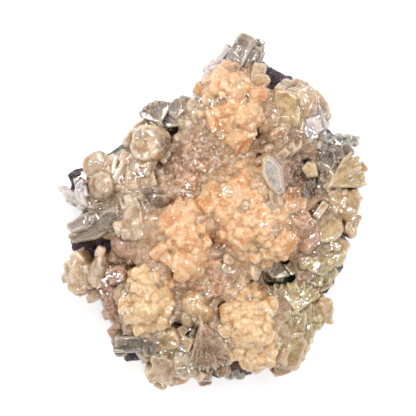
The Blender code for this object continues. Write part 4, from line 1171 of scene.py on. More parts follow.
# Scale and detail: broad shades, grains, fine grains, green patches and stains
ROCK_NOISES = [(420.0, 4.0), (1500.0, 6.0), (4200.0, 2.0), (95.0, 5.0), (60.0, 3.0)]


def basalt_finish():
    """Grainy dark rock with celadonite skins and ochre stains."""
    wire = Glazing("basalt")
    broad, grains, fine, patches, stains = (wire.noise(scale, detail=detail)
                                            for scale, detail in ROCK_NOISES)
    colour = wire.glaze(BASALT_DARK, broad, 0.38, 0.62, 1.0, BASALT_BODY)
    colour = wire.glaze(colour, grains, 0.56, 0.70, 0.8, BASALT_GRAIN)
    colour = wire.glaze(colour, stains, 0.60, 0.70, 0.5, OCHRE)
    green = wire.glaze(CELADONITE_DARK, grains, 0.40, 0.60, 1.0, CELADONITE)
    damp = wire.times(wire.span(patches, 0.60, 0.66, 0.0, 0.9), wire.fact("green"), "MAXIMUM")
    wire.put(wire.shader.inputs["Base Color"], wire.mix(damp, colour, green))
    wire.put(wire.shader.inputs["Roughness"], wire.span(grains, 0.4, 0.7, 0.85, 0.45))
    wire.shader.inputs["Specular IOR Level"].default_value = 0.5
    rough = wire.bump(grains, 0.7, 0.5 * MM)
    wire.put(wire.shader.inputs["Normal"], wire.bump(fine, 0.4, 0.2 * MM, rough))
    return wire.material


basalt = basalt_finish()
print("basalt nodes:", len(basalt.node_tree.nodes))

# %% [markdown]
# ## The broken rock
#
# The rock shows between the crystals and all round the rim, and from the side it is most of the
# specimen. It could be one displaced sphere, but a broken rock has flat fracture faces with sharp
# edges between them. So a copy of the packed rock is wrapped in a skin and chipped: noise is cut
# into steps for the fractures, and small round pits are pressed in for the gas bubbles.

# %% Chipping and pitting
ROCK_FILM = 0.68
ROCK_SOFT = 2
FRACTURE_STEPS = 2.5
BUBBLE_SPACING = 3.2
BUBBLE_RIM, BUBBLE_DEPTH = 0.45, 1.5
ROCK_SUNK = 0.5
FLAT_BACK = 0.5
INSIDE = 0.05
# Where celadonite greens the rock: place, half width and half height
GREEN_PLACES = [
    (-29.0, 19.5, 5.0, 3.4), (38.5, 21.5, 4.5, 3.0), (37.5, -18.5, 2.4, 3.0),
    (14.5, -22.5, 4.5, 3.6), (22.0, -20.0, 5.0, 3.0), (6.0, -50.5, 4.5, 2.0),
    (-20.0, -44.5, 2.4, 1.6), (-10.6, 24.6, 2.2, 1.6),
]


def greenness(points):
    """How much celadonite lies on the rock at each point, from 0 to 1."""
    bare = np.ones(len(points))
    uneven = 1.0 + 0.35 * cloud(points, 1.8, 31)
    for place in GREEN_PLACES:
        bare *= 1.0 - 0.9 * np.exp(-(share_from(points, *place) * uneven) ** 4)
    return 1.0 - bare


def chipped(points):
    """How far each point of the rock moves out, or in if it is below 0."""
    broad = cloud(points, 7.0, 1)
    fractures = cloud(points * (1.0, 1.0, 1.6), 4.0, 2)
    steps = np.round(fractures * FRACTURE_STEPS) / FRACTURE_STEPS
    rough = cloud(points, 2.0, 3) * 0.75 + cloud(points, 0.9, 4) * 0.35
    pits = np.clip(cloud(points, BUBBLE_SPACING * 0.5, 6) - BUBBLE_RIM, 0.0, 1.0) * -BUBBLE_DEPTH
    return 0.5 * broad + 0.55 * steps + rough + pits - ROCK_SUNK


def break_rock():
    """A chipped and pitted copy of the packed rock, with its back left flat."""
    cage = Cage()
    cage.add_mesh(frame["nodes"]["basalt_matrix"].data)
    mesh = wrapped(cage, ROCK_FILM, ROCK_SOFT)
    points = read(mesh, "places")
    free = np.clip(points[:, 2] / FLAT_BACK, 0.0, 1.0)
    points += read(mesh, "normals") * (chipped(points) * free)[:, None]
    points = np.clip(points, np.array(cad_low) / MM + INSIDE, np.array(cad_high) / MM - INSIDE)
    write_places(mesh, points)
    write_facts(mesh, green=greenness(points))
    set_piece("basalt_broken", "basalt_matrix", mesh, basalt, "basalt")
    print("rock:", 2 * len(mesh.polygons), "triangles")


break_rock()

# %% [markdown]
# ## The stellerite finishes
#
# Stellerite is the small-grained mineral here. In the mounds it is milky and stained peach by
# iron, and painted shade makes its creases a deeper orange; in the lower mounds it is yellower, and
# in the crusts between them a thin pink-brown layer lets the dark rock show through. Five separate
# materials from nodes drawn by hand would drift apart, so each is one call of the same recipe with
# four colours: the body, the painted light of the tips, the painted shade between crystals and the
# painted shade at the bottom of a hollow.

# %% Orange, yellow and pink druse, and the brown fan
DRUSE = {"deep": 0.8, "flank": 0.3, "mottle": 0.35, "glitter": 0.14}
orange_druse = crystal_finish("orange_druse", seen(230, 193, 150), seen(250, 229, 196),
                              seen(216, 150, 91), seen(168, 104, 55), **DRUSE)
yellow_druse = crystal_finish("yellow_druse", seen(222, 190, 138), seen(246, 226, 184),
                              seen(200, 150, 86), seen(148, 106, 60), **DRUSE)
pink_druse = crystal_finish("pink_druse", seen(176, 133, 103), seen(217, 181, 154),
                            seen(140, 93, 61), seen(80, 51, 35), clear=0.10, patch=0.35,
                            frost=0.25, lustre=0.8, mottle=0.3, glitter=0.16)
bed_druse = crystal_finish("bed_druse", seen(198, 160, 122), seen(236, 208, 174),
                           seen(148, 106, 68), seen(78, 54, 36), clear=0.15, streak=0.45,
                           patch=0.55, frost=0.3, lustre=0.8, stain=0.6, mottle=0.3)
brown_fan = crystal_finish("brown_fan", seen(162, 127, 98), seen(210, 180, 148),
                           seen(111, 78, 50), seen(62, 40, 28), clear=0.10, streak=0.7,
                           patch=0.4, crease=0.4, frost=0.5, lustre=0.9, mottle=0.3)
print("nodes in the orange druse:", len(orange_druse.node_tree.nodes))

# %% [markdown]
# ## The milky heulandite finishes
#
# Most of the heulandite is honey-cream: milky at the tips, and clearer and browner towards the
# root, because one looks through more of it. Real depth needs a body that light passes through,
# which would turn grey with so many crystals behind each other. So light goes a few millimetres
# deep by subsurface scattering, the pale tips are painted light, and the brown of the depth is
# painted shade that grows down the flanks, with soft brown clouds as well.

# %% Cream, tan and olive
MILKY = {"clear": 0.10, "rough": (0.04, 0.14), "streak": 0.5, "patch": 0.65, "crease": 0.3,
         "frost": 0.4, "deep": 0.6, "lustre": 0.95, "mottle": 0.15, "grainy": 0.28}
GREENER = {**MILKY, "clear": 0.15, "rough": (0.04, 0.12), "patch": 0.55, "frost": 0.5,
           "stain": 0.5, "grainy": 0.25}
cream = crystal_finish("cream", seen(219, 188, 146), seen(236, 223, 198), seen(167, 118, 71),
                       seen(81, 56, 35), **MILKY)
tan = crystal_finish("tan", seen(209, 171, 118), seen(236, 217, 174), seen(158, 111, 58),
                     seen(76, 51, 28), **MILKY)
olive = crystal_finish("olive", seen(195, 166, 107), seen(230, 215, 166), seen(140, 106, 54),
                       seen(63, 47, 28), **GREENER)
print("olive differs in", sorted(key for key in GREENER if GREENER[key] != MILKY.get(key)))

# %% [markdown]
# ## The glassy heulandite finishes
#
# Some crystals are nearly clear: grey blades and blocks on the rim, purple-brown ones over dark
# rock, and pearly plates with a lilac shine. Real glass is what they are, and plain transmission
# with absorption makes it, but only in part: fine veils and cracks inside them scatter the rest.
# The coffin crystal is the clearest to the eye, and its bevels take the colours of what is beside
# it; most of that look is painted, since true glass would show only the orange behind it.

# %% Grey, mauve, pearl and the clear crystal
grey_glass = crystal_finish("grey_glass", seen(160, 143, 123), seen(211, 198, 180),
                            seen(112, 93, 71), seen(53, 42, 32), clear=0.35, rough=(0.03, 0.10),
                            streak=0.5, patch=0.55, crease=0.5, frost=0.9, lustre=1.0, stain=0.4,
                            mottle=0.22, grainy=0.35)
mauve_glass = crystal_finish("mauve_glass", seen(140, 106, 85), seen(198, 169, 147),
                             seen(86, 57, 39), seen(44, 28, 23), clear=0.30, rough=(0.03, 0.12),
                             streak=0.4, patch=0.55, crease=0.5, frost=0.6, lustre=1.0, stain=0.3,
                             mottle=0.25, grainy=0.35)
pearl = crystal_finish("pearl", seen(226, 212, 200), seen(252, 244, 250), seen(178, 150, 124),
                       seen(98, 78, 60), clear=0.20, rough=(0.03, 0.10), streak=0.5, patch=0.4,
                       crease=0.4, frost=0.9, lustre=1.0, stain=0.3, mottle=0.15, grainy=0.3)
# Its two side tints are painted reflections of what stands left and right of it
clear_smoke = crystal_finish("clear_smoke", seen(222, 216, 204), seen(248, 244, 234),
                             seen(168, 158, 138), seen(120, 106, 88), clear=0.25,
                             rough=(0.02, 0.08), streak=0.5, patch=0.7, crease=0.3, frost=1.0,
                             lustre=1.0, deep=0.0, stain=0.0, mottle=0.5, flank=0.0,
                             sides=(seen(244, 228, 186), seen(226, 196, 188)))
print("nodes in the clear crystal's finish:", len(clear_smoke.node_tree.nodes))

# %% [markdown]
# ## The green druse
#
# Celadonite is an earthy green clay mineral that lines the bubbles of the basalt. On the rims it
# wears a fine crust of small glassy grains. A flat green paint would look like moss, so it takes
# the same recipe as the crystals, with dull roughness and pale grains.

# %% Celadonite with pale grains
green_druse = crystal_finish("green_druse", seen(112, 122, 102), seen(206, 208, 198),
                             seen(62, 74, 58), seen(36, 42, 34), clear=0.1, rough=(0.15, 0.5),
                             patch=0.6, frost=0.6, stain=0.0)
print("finishes:", len(bpy.data.materials))

# %% [markdown]
# ## Slots
#
# A slot is a name under which a user of the part can give it another finish. Pieces of the same
# stone share one, so each stone pairs a slot's name with a finish, and a piece names its stone.

# %% Each stone's slot and finish
ORANGE, YELLOW = ("stellerite_orange", orange_druse), ("stellerite_yellow", yellow_druse)
PINK, BROWN = ("stellerite_pink", pink_druse), ("stellerite_brown", brown_fan)
CREAM, TAN = ("heulandite_cream", cream), ("heulandite_tan", tan)
OLIVE, PEARL = ("heulandite_olive", olive), ("heulandite_pearl", pearl)
GREY, MAUVE = ("heulandite_grey", grey_glass), ("heulandite_mauve", mauve_glass)
GREEN = ("celadonite", green_druse)
print("a cream piece has the slot", CREAM[0])

# %% [markdown]
# ## Ways to finish a skin
#
# The same skin can be soft or sharp. Grey and pearly crystals are cleaved and keep their flat
# faces, and fans have a finer film, so that each blade keeps its edge. Cream ones have swollen
# faces and balls are round all over. The grains of a druse are so small and grown together that
# only their bumps are left. One could smooth each piece by eye; named settings keep like pieces
# alike.

# %% Settings for the skins
CLEAR = {"children": 0, "crisp": 1.0, "film": 0.26, "soft": 1, "waves": 0.02, "relief": 0.02}
GLASSY = {"soft": 2, "crisp": 0.75, "waves": 0.06, "film": 0.35}
LONE = {"children": 0, "crisp": 0.95, "film": 0.28, "soft": 1, "waves": 0.02, "gloom": 0.1,
        "warm": 0.0}
FINE = {"children": 1, "soft": 1, "crisp": 0.85, "waves": 0.02, "film": 0.32}
ROUND = {"soft": 4, "crisp": 0.32, "waves": 0.15, "relief": 0.06}
SHARP = {"soft": 2, "crisp": 0.75, "waves": 0.04, "film": 0.33}
MOUND = {"children": 0, "base": BASE_SUNK, "reach": 3.0, "soft": 4, "crisp": 0.12, "waves": 0.04}
CRUST = {**MOUND, "soft": 3, "crisp": 0.15}
print("settings: clear, glassy, lone, fine, round, sharp, mound and crust")

# %% [markdown]
# ## The two ways to sow
#
# On a mound coarse crystals stand in heaps, with fine ones in the gaps between them. On a crust
# all of them are fine and hardly stand out. One sowing with a wide range of sizes would mix them
# too evenly, so a mound is sown twice.

# %% A mound's and a crust's crystals
MOUND_SWELL, CRUST_SWELL = 2.0, 1.0
FINE_SEED = 100


def mound_of(node, seed):
    """Coarse crystals that stand in heaps, and fine ones in the gaps between them."""
    coarse = sow(node, 2.4, 2.2, 4.0, seed, swell=MOUND_SWELL)
    return coarse + sow(node, 1.35, 1.0, 2.0, seed + FINE_SEED, swell=MOUND_SWELL)


def crust_of(node, seed):
    """Fine crystals that hardly stand out."""
    return sow(node, 1.2, 1.0, 2.2, seed, swell=CRUST_SWELL, stand=0.2)


print("heaps rise", MOUND_SWELL, "mm on a mound and", CRUST_SWELL, "mm on a crust")

# %% [markdown]
# ## The clear coffin crystal
#
# One heulandite crystal stands free on the centre mound. It has the coffin shape that the species
# is known for, and it is nearly clear, with bright edges and wide bevels. A glass solid would
# only show the orange behind it, while the real one is full of fine veils and looks silver-grey.
# So its outline is lofted with bevels, kept crisp, and given the mottled clear finish, with
# painted highlights on its edges and painted reflections on its bevels.

# %% The coffin crystal
grow("heulandite_coffin_centre", "heulandite_pearl", clear_smoke, [
    plate(17.4, 11.0, 38.6, 5.6, 10.8, 21, lean=9, toward=160, deep=9, foot=0.96),
], **CLEAR)

# %% Cream facets at its foot
grow("cream_facets", *CREAM, [
    block(18.4, 4.4, 37.0, 3.2, 5.0, 12, end="bevel"),
    block(17.4, 2.6, 36.2, 2.4, 2.8, -20, end="bevel"),
], **LONE)

# %% [markdown]
# ## The small crystals beside it
#
# Short pale prisms lie at the clear crystal's head, and a pink cube and a lilac, striated crystal
# stand at its foot. They could be single boxes, but real ones carry steps and smaller parallel
# crystals, so each gets a few children of its own.

# %% The pale prisms
grow("heulandite_prisms_centre", *CREAM, [
    slab(19.9, 16.4, 30.5, 2.2, 4.8, -48, lean=24, toward=230),
    slab(22.4, 17.4, 29.5, 2.2, 5.0, -42, lean=24, toward=230),
    lump(17.0, 18.6, 27.5, 3.6, 3.2, 0),
    lump(20.6, 19.6, 26.5, 3.2, 3.0, 0),
    lump(24.2, 19.4, 25.0, 3.4, 3.0, 20),
])

# %% The pink cube and the lilac crystal
grow("heulandite_striated_right", *PINK, [
    block(25.2, -1.6, 32.5, 6.4, 4.6, -22, end="bevel", lean=14, toward=10, deep=9),
    plate(28.6, -7.4, 27.5, 5.0, 8.6, -32, "blade", lean=22, toward=150, deep=9),
    block(28.2, -3.8, 27.0, 3.2, 3.0, 30),
    block(29.8, -11.2, 24.5, 3.6, 4.2, -25),
], **SHARP)

# %% [markdown]
# ## The grey block at the peak
#
# The highest tip of the picture is a grey, glassy block with a ridge along it: two broad faces,
# one greyer and one yellower, with steps below. It is two long lofted blocks that lean away from
# each other, so that the ridge comes from their meeting, as it does on the stone.

# %% The cap
grow("heulandite_cap_top", *GREY, [
    plate(6.7, 46.9, 26.5, 5.6, 12.4, -27, "block", lean=24, toward=160, deep=12),
    plate(11.8, 46.4, 25.5, 5.0, 5.6, -24, "block", lean=22, toward=-40, deep=10),
    block(10.6, 50.6, 23.0, 4.4, 4.6, -30, lean=18, toward=60),
    slab(13.6, 50.0, 21.0, 2.6, 3.4, -25, lean=14),
    slab(3.6, 42.4, 24.0, 2.6, 4.8, -24, lean=16, toward=170),
    slab(13.8, 46.6, 21.5, 2.0, 3.8, -25, lean=20),
], children=0, **GLASSY)

# %% [markdown]
# ## Wedges and plates below the peak
#
# On the right of the top mound a row of cream wedges pokes out its jagged tips. On the left, thin
# plates stand on edge and step down to the rim. A plate on edge is a slab with a small width, and
# it is turned, not modelled, into place.

# %% The cream wedges
grow("heulandite_wedges_top", *CREAM, [
    block(11.6, 42.6, 26.0, 4.6, 3.6, 20),
    slab(13.4, 41.4, 27.0, 3.4, 5.2, -18, lean=22, toward=20),
    plate(13.9, 38.6, 27.5, 4.6, 6.6, -78, "blade", lean=16, toward=15),
    plate(13.6, 35.2, 27.0, 4.2, 7.2, -104, "blade", lean=16, toward=-5),
    block(13.9, 30.9, 27.5, 5.4, 4.6, -12, lean=18, toward=-10),
    block(15.0, 27.2, 25.5, 4.8, 3.8, 30, lean=20, toward=-30),
    slab(12.2, 26.2, 25.0, 2.2, 3.0, -25, lean=30, toward=-60),
    slab(17.0, 25.2, 24.0, 1.6, 2.8, -50),
], **SHARP)

# %% The edge-on plates
grow("heulandite_plates_top_left", *PEARL, [
    slab(2.2, 46.6, 21.0, 1.5, 7.2, -38),
    slab(0.7, 45.0, 20.0, 1.4, 6.0, -40),
    block(2.6, 42.4, 24.5, 6.6, 4.6, 15, lean=14),
    block(-0.6, 40.6, 23.5, 4.8, 5.0, -20),
    block(-1.8, 37.2, 22.5, 4.4, 3.6, 12),
    slab(-3.4, 38.2, 19.5, 1.3, 5.4, -18),
    block(-2.9, 34.9, 22.0, 3.4, 3.0, 40),
    slab(-1.4, 33.0, 25.0, 3.2, 1.6, 30),
    slab(-3.2, 32.2, 24.0, 2.4, 1.5, -25),
], **GLASSY)

# %% [markdown]
# ## The right shoulder
#
# Four kinds of crystal meet on the shoulder: a big tan one, a pale yellow ball with smaller ones
# on its outer side, a golden ball below, and a curved glassy crystal with a lilac-white face.
# Spheres would look like beads; a real ball is a bundle of crystals that fans out, so a ball here
# is a nine-sided outline with a domed end, and its skin is left wavy.

# %% The tan crystal
grow("heulandite_tan_shoulder", *TAN, [
    block(22.4, 30.0, 27.0, 8.4, 10.2, -8, lean=10, toward=200),
    lump(19.0, 32.9, 24.5, 4.6, 4.8, 20),
    slab(18.6, 28.4, 25.0, 2.0, 5.0, -12),
])

# %% The pale ball and its row
grow("heulandite_balls_shoulder", *CREAM, [
    lump(27.2, 33.6, 27.0, 8.8, 7.6, -25),
    block(23.8, 35.3, 24.5, 5.2, 4.2, 15),
    lump(22.4, 38.6, 21.0, 4.2, 4.0, 0),
    slab(25.6, 38.7, 19.5, 3.6, 2.6, -20),
    slab(28.6, 37.4, 18.5, 3.4, 2.2, -38),
    plate(33.0, 32.0, 18.5, 3.6, 7.8, 24, "blade", lean=12),
    block(20.0, 36.0, 22.0, 4.0, 3.0, 25),
], **ROUND)

# %% The golden ball
grow("heulandite_golden_ball", *TAN, [
    lump(19.9, 23.6, 26.5, 6.8, 4.6, 22),
    lump(22.6, 25.0, 25.0, 4.0, 3.6, 0),
    lump(17.9, 22.6, 25.0, 3.2, 3.0, 0),
], **ROUND)

# %% The glassy crystal with the lilac face
grow("heulandite_glassy_shoulder", *PEARL, [
    plate(28.6, 24.2, 24.0, 5.4, 7.6, -16, lean=20, toward=-150),
    block(31.4, 28.6, 21.0, 4.6, 7.0, 16),
    block(30.6, 23.2, 20.5, 4.0, 5.0, -25),
    slab(32.6, 27.4, 18.5, 1.4, 7.2, 6),
    block(27.4, 20.0, 22.0, 4.4, 3.2, -20),
], **GLASSY)

# %% [markdown]
# ## The upper left rim
#
# A cream ball with rays, as large as a cherry stone, sits on the upper left rim over a dark gap.
# Above it a grey fan opens over the edge, and cream-pink lumps climb from there to the top mound.
# The fan is a row of wedges from one root, which is how such fans grow.

# %% The cream ball
grow("heulandite_ball_left", *CREAM, [
    lump(-19.6, 21.2, 28.6, 11.6, 10.0, 25, lean=14),
    lump(-17.4, 22.6, 28.8, 6.6, 6.2, 10, lean=12, toward=60),
    lump(-22.0, 19.4, 27.6, 6.4, 5.6, 40, lean=22),
    lump(-18.6, 17.8, 27.8, 5.6, 4.8, 0, lean=20, toward=-90),
    lump(-21.8, 24.4, 26.2, 6.0, 5.0, 30, lean=30),
    block(-24.3, 21.6, 22.5, 4.4, 5.2, -35),
    block(-15.6, 18.2, 25.5, 4.0, 4.6, 30),
    slab(-21.6, 26.2, 20.0, 4.0, 2.0, 30),
], **ROUND)

# %% The grey fan
grow("heulandite_fan_upper_left", *GREY,
     fan(-16.0, 26.8, 24.0, 7.4, 158, 62, 11, 2.0, dip=18) + [
    plate(-10.6, 31.6, 22.5, 4.6, 6.2, -28, "blade", lean=22, toward=110),
    slab(-8.6, 33.0, 20.5, 3.4, 3.4, -15),
    block(-12.6, 28.2, 22.5, 4.6, 4.6, 10),
], **FINE)

# %% The cream-pink lumps
grow("heulandite_ledge_upper_left", *CREAM, [
    lump(-5.6, 32.0, 23.5, 5.6, 5.2, 30),
    lump(-3.6, 28.6, 26.0, 5.6, 5.4, 0),
    lump(-6.6, 27.2, 24.5, 4.6, 5.0, -25),
    lump(-8.6, 29.8, 22.0, 4.4, 6.0, 15),
    block(-2.4, 25.2, 26.5, 3.0, 2.4, 30),
], **ROUND)

# %% [markdown]
# ## The left cluster
#
# Cream-orange crystals lean on each other, with silvery plates on edge to their left and brown,
# glassy crystals in their shade. A pointed blade with a rounded companion stands in front. The
# blade's point needs an outline of its own, since a block has none.

# %% Cream-orange crystals and silvery plates
grow("heulandite_cluster_left", *CREAM, [
    block(-21.8, 14.2, 27.5, 6.6, 5.6, -12),
    block(-24.2, 10.6, 26.5, 4.6, 7.4, -8, lean=12, toward=150),
    block(-20.4, 10.0, 26.0, 4.8, 5.0, 20),
    slab(-29.9, 13.4, 23.0, 1.2, 6.8, -12, lean=18, toward=160),
    slab(-28.5, 12.0, 23.8, 1.4, 6.4, -26, lean=16, toward=160),
    slab(-27.0, 9.6, 24.0, 2.6, 5.6, 10, lean=14, toward=170),
    slab(-26.2, 16.4, 24.0, 3.4, 3.0, -20),
    block(-24.2, 7.0, 24.5, 4.0, 3.6, 30),
    slab(-28.6, 16.0, 21.5, 2.0, 3.4, -35),
], **SHARP)

# %% The pointed blade
grow("heulandite_point_left", *CREAM, [
    Crystal(-25.2, -1.4, 28.0, 7.0, 11.4, 4, "point", "hump", lean=12, toward=200, deep=12),
    slab(-26.2, 3.0, 26.4, 2.6, 3.4, 12, lean=34, toward=98, deep=8),
    block(-20.6, -4.2, 27.5, 6.2, 7.4, -14, lean=10, toward=250),
    block(-23.8, -5.2, 26.5, 4.6, 5.2, 20),
])

# %% Brown glassy crystals
grow("heulandite_mauve_left", *MAUVE, [
    block(-21.8, 3.6, 25.0, 4.6, 4.6, 25),
    block(-17.4, 2.6, 26.5, 5.2, 4.8, -15),
    block(-14.8, -0.6, 26.5, 3.6, 4.2, 35),
    lump(-18.6, 6.4, 26.0, 5.6, 3.6, 10),
    slab(-20.0, 0.0, 25.6, 3.2, 2.6, 40),
])

# %% [markdown]
# ## The far left rim
#
# Here the crystals hang over the rim: a rounded block that is glassy above and cream below, a
# white pearly crescent with a brown tip, and three long grey blades side by side. Their lean is
# read from the picture, since a face that is seen foreshortened is narrower than it is long.

# %% The rounded block
grow("heulandite_block_far_left", *CREAM, [
    lump(-34.3, 8.2, 25.0, 7.6, 8.4, 12),
    block(-36.2, 13.8, 22.0, 7.4, 6.2, 20, lean=26),
    block(-33.2, 13.6, 22.5, 4.4, 6.2, -16, lean=20),
    slab(-36.6, 16.2, 17.5, 4.4, 2.0, 22),
], **ROUND)

# %% The pearly crescent
grow("heulandite_crescent_left", *PEARL, [
    plate(-39.6, 6.2, 20.5, 4.4, 8.0, 8, "crescent", lean=22, deep=8),
    plate(-43.4, 4.9, 14.5, 3.0, 6.8, 62, "blade", lean=28, deep=6),
    lump(-39.4, 2.4, 16.5, 4.4, 3.4, -20),
    lump(-36.6, 3.4, 19.0, 4.0, 3.4, 10),
], **GLASSY)

# %% The grey blades
grow("heulandite_blades_left", *GREY, [
    plate(-38.7, -2.6, 21.0, 4.6, 9.6, -62, "blade", lean=24, toward=150, deep=8),
    plate(-31.9, -2.7, 22.5, 6.4, 8.0, -68, "blade", lean=16, toward=200, deep=9),
    plate(-36.6, -6.4, 20.0, 4.4, 13.2, -73, "blade", lean=18, toward=215, deep=8),
    slab(-32.6, 1.0, 19.5, 2.4, 2.8, -30),
    slab(-29.6, 0.2, 20.5, 2.0, 3.6, 15),
], **GLASSY)

# %% [markdown]
# ## The shade right of the centre
#
# Between the centre mound and the right rim lies a shaded field of purple-brown crystals, with
# one tan face that has five corners, and grey-mauve crystals above. On the rim beyond them green
# celadonite shows under small white grains and a thin lilac plate.

# %% The mottled field
grow("heulandite_field_right", *MAUVE, [
    block(24.4, 14.2, 26.5, 5.6, 5.4, 20),
    block(27.4, 9.4, 26.0, 5.4, 5.6, -30),
    block(24.2, 9.4, 26.5, 3.8, 5.2, 12),
    block(29.6, 5.2, 26.0, 5.4, 5.0, 10),
    block(33.6, 6.0, 24.5, 5.2, 5.6, -20),
    lump(26.2, 5.4, 26.5, 3.8, 4.0, 0),
    lump(31.2, 9.0, 23.5, 3.8, 3.6, 0),
])

# %% The five-cornered face and a white prism
grow("five_cornered_face", *TAN, [
    Crystal(28.6, 12.7, 28.6, 3.9, 4.4, 20, "pentagon", "bevel", lean=8, toward=120, deep=8),
], **LONE)
grow("white_prism", *CREAM, [
    slab(32.0, 0.8, 28.6, 1.9, 4.6, -36, lean=18, toward=50),
], **LONE)

# %% Grey-mauve crystals
grow("heulandite_grey_right", *GREY, [
    block(33.4, 16.8, 23.5, 5.6, 5.8, -25),
    block(37.0, 18.2, 21.0, 5.4, 5.0, 20),
    block(35.8, 13.6, 22.0, 4.8, 4.6, 35),
    block(29.8, 17.4, 23.0, 4.4, 4.0, 10),
    slab(40.2, 18.6, 18.0, 3.4, 4.0, 40),
], **GLASSY)

# %% The green rim
grow("celadonite_druse_right", *GREEN, [
    lump(35.0, 22.2, 19.0, 3.6, 3.2, 0),
    lump(38.0, 22.2, 18.0, 3.6, 3.0, 30),
    slab(36.4, 21.2, 19.5, 2.2, 2.2, 30),
    slab(42.2, 22.0, 15.8, 3.4, 2.0, -8, deep=4, lean=20),
    slab(40.4, 21.6, 16.6, 2.8, 2.8, 20),
])

# %% [markdown]
# ## The right rim
#
# A striated fan gives the right rim its teeth. Below it a tan ledge steps out, then a disc-like
# crystal, then yellowish blocks down to the dark gap. The fan's stripes could be a bump texture,
# but its outline is serrated too, so every stripe is a blade with its own ridge.

# %% The striated fan
grow("stellerite_fan_right", *TAN,
     fan(34.4, 7.8, 25.0, 12.8, 2, 58, 13, 2.0, dip=22, deep=8) + [
    slab(44.6, 13.0, 17.5, 2.6, 3.4, -50, lean=26),
], **FINE)

# %% The ledge
grow("heulandite_ledge_right", *TAN, [
    block(40.6, 2.4, 22.5, 8.0, 8.4, -18, lean=24),
    block(42.4, -3.8, 19.0, 4.2, 5.6, -28, lean=28),
    slab(42.8, 4.8, 19.0, 3.0, 3.6, 30),
    block(36.8, 4.2, 24.0, 3.6, 4.4, 8),
])

# %% The disc and its blocks
grow("heulandite_disc_right", *TAN, [
    lump(35.2, -4.4, 26.0, 9.2, 8.2, -12, lean=16, foot=0.8),
    block(33.4, -9.8, 24.0, 4.6, 4.4, 10),
    block(38.4, -10.6, 20.5, 5.0, 4.6, -22),
    slab(36.4, -9.4, 23.0, 1.8, 3.8, 40),
], **ROUND)

# %% The yellowish blocks
grow("heulandite_blocks_right", *OLIVE, [
    block(35.6, -14.2, 21.5, 7.2, 5.2, 18, lean=26),
    block(32.6, -15.4, 23.0, 5.4, 6.2, -24),
    block(35.0, -18.6, 18.5, 5.4, 4.6, 35),
    block(27.6, -15.0, 24.5, 3.4, 4.0, 14),
    block(30.4, -19.2, 21.5, 5.6, 4.6, -12),
    block(27.0, -18.2, 21.5, 4.0, 3.6, 20),
    block(33.4, -21.8, 17.0, 4.8, 3.6, 25),
])

# %% [markdown]
# ## The hollow below the centre
#
# Under the centre mound the stone falls away into a dark, greenish hollow. Flat olive-grey
# crystals lie in it, and a barrel with a six-sided end sticks out over it from the left. The
# barrel leans far over, so that its end face looks sideways.

# %% The barrel
grow("heulandite_barrel_centre", *CREAM, [
    barrel(13.6, -17.2, 27.0, 4.8, 5.6, 12, lean=48, toward=-10, deep=9),
    block(9.6, -15.6, 26.5, 5.2, 4.4, 16),
    block(9.4, -19.2, 26.0, 4.4, 3.8, -12),
    lump(5.6, -13.4, 27.0, 4.8, 4.2, 20),
    lump(3.8, -16.6, 26.0, 4.0, 3.4, 0),
])

# %% The flat crystals
grow("heulandite_flat_low", *OLIVE, [
    plate(19.2, -17.6, 20.5, 5.4, 7.4, 76, lean=8, toward=-60),
    slab(23.6, -16.8, 21.0, 2.4, 3.2, 40),
    slab(14.6, -22.6, 21.5, 2.4, 4.4, 32),
], gloom=0.45, **GLASSY)

# %% [markdown]
# ## The lower right
#
# Two scalloped fans like half-open shells stand right of the yellow mound, with smooth olive
# crystals outside them, a barrel that points out to the right, and a big cream block at the
# bottom. The shells are short fans with few, broad blades.

# %% The scalloped fans
grow("stellerite_scallops", *OLIVE,
     fan(24.8, -29.4, 26.5, 9.4, 128, 38, 11, 2.1, dip=16, deep=9) +
     fan(19.6, -30.0, 26.0, 9.0, 118, 66, 7, 2.0, dip=12, deep=9), **FINE)

# %% Smooth olive crystals
grow("heulandite_olive_blocks", *OLIVE, [
    block(25.0, -32.4, 25.0, 5.6, 6.6, -8, lean=14),
    block(29.0, -35.8, 20.5, 4.8, 7.4, -16, lean=24),
    block(28.6, -31.2, 22.5, 4.4, 5.0, 20),
    lump(21.2, -31.0, 26.5, 3.2, 3.6, 0),
    lump(21.2, -34.9, 26.0, 3.2, 3.2, 0),
])

# %% The barrel on the rim
grow("heulandite_barrel_right", *TAN, [
    barrel(35.0, -30.6, 18.5, 5.8, 6.4, 10, lean=42, toward=-18, deep=10),
    block(32.2, -29.2, 20.5, 4.2, 4.4, 22),
    block(31.6, -33.0, 18.5, 3.6, 3.4, -15),
])

# %% The big cream block
grow("heulandite_block_bottom_right", *TAN, [
    block(23.6, -43.4, 22.5, 8.0, 9.8, -14, lean=24),
    block(20.2, -41.6, 25.0, 3.6, 6.6, -20, lean=18, toward=200),
    block(23.8, -38.6, 24.0, 6.2, 3.8, 10),
    block(21.4, -47.4, 17.5, 5.0, 4.2, 20),
    block(26.8, -41.0, 20.0, 3.2, 6.4, -18),
])

# %% [markdown]
# ## The brown fan and its neighbours
#
# A brown-mauve fan, striped from its root to the rim, fills the bottom of the picture. Rounded
# tan crystals lie at its root, and golden-brown ones at its left.

# %% The brown fan
grow("stellerite_fan_bottom", *BROWN,
     fan(-3.6, -33.4, 27.0, 16.5, -104, -36, 14, 2.5, dip=26, deep=9) + [
    plate(4.2, -36.4, 26.5, 4.6, 8.2, 40, "blade", lean=20, toward=-130, deep=9),
    block(-2.4, -49.0, 17.0, 3.4, 5.6, 4, lean=24),
    block(2.6, -47.6, 17.5, 4.4, 4.4, 18),
    slab(-2.6, -51.2, 13.2, 3.4, 2.8, 12, deep=5),
], **FINE)

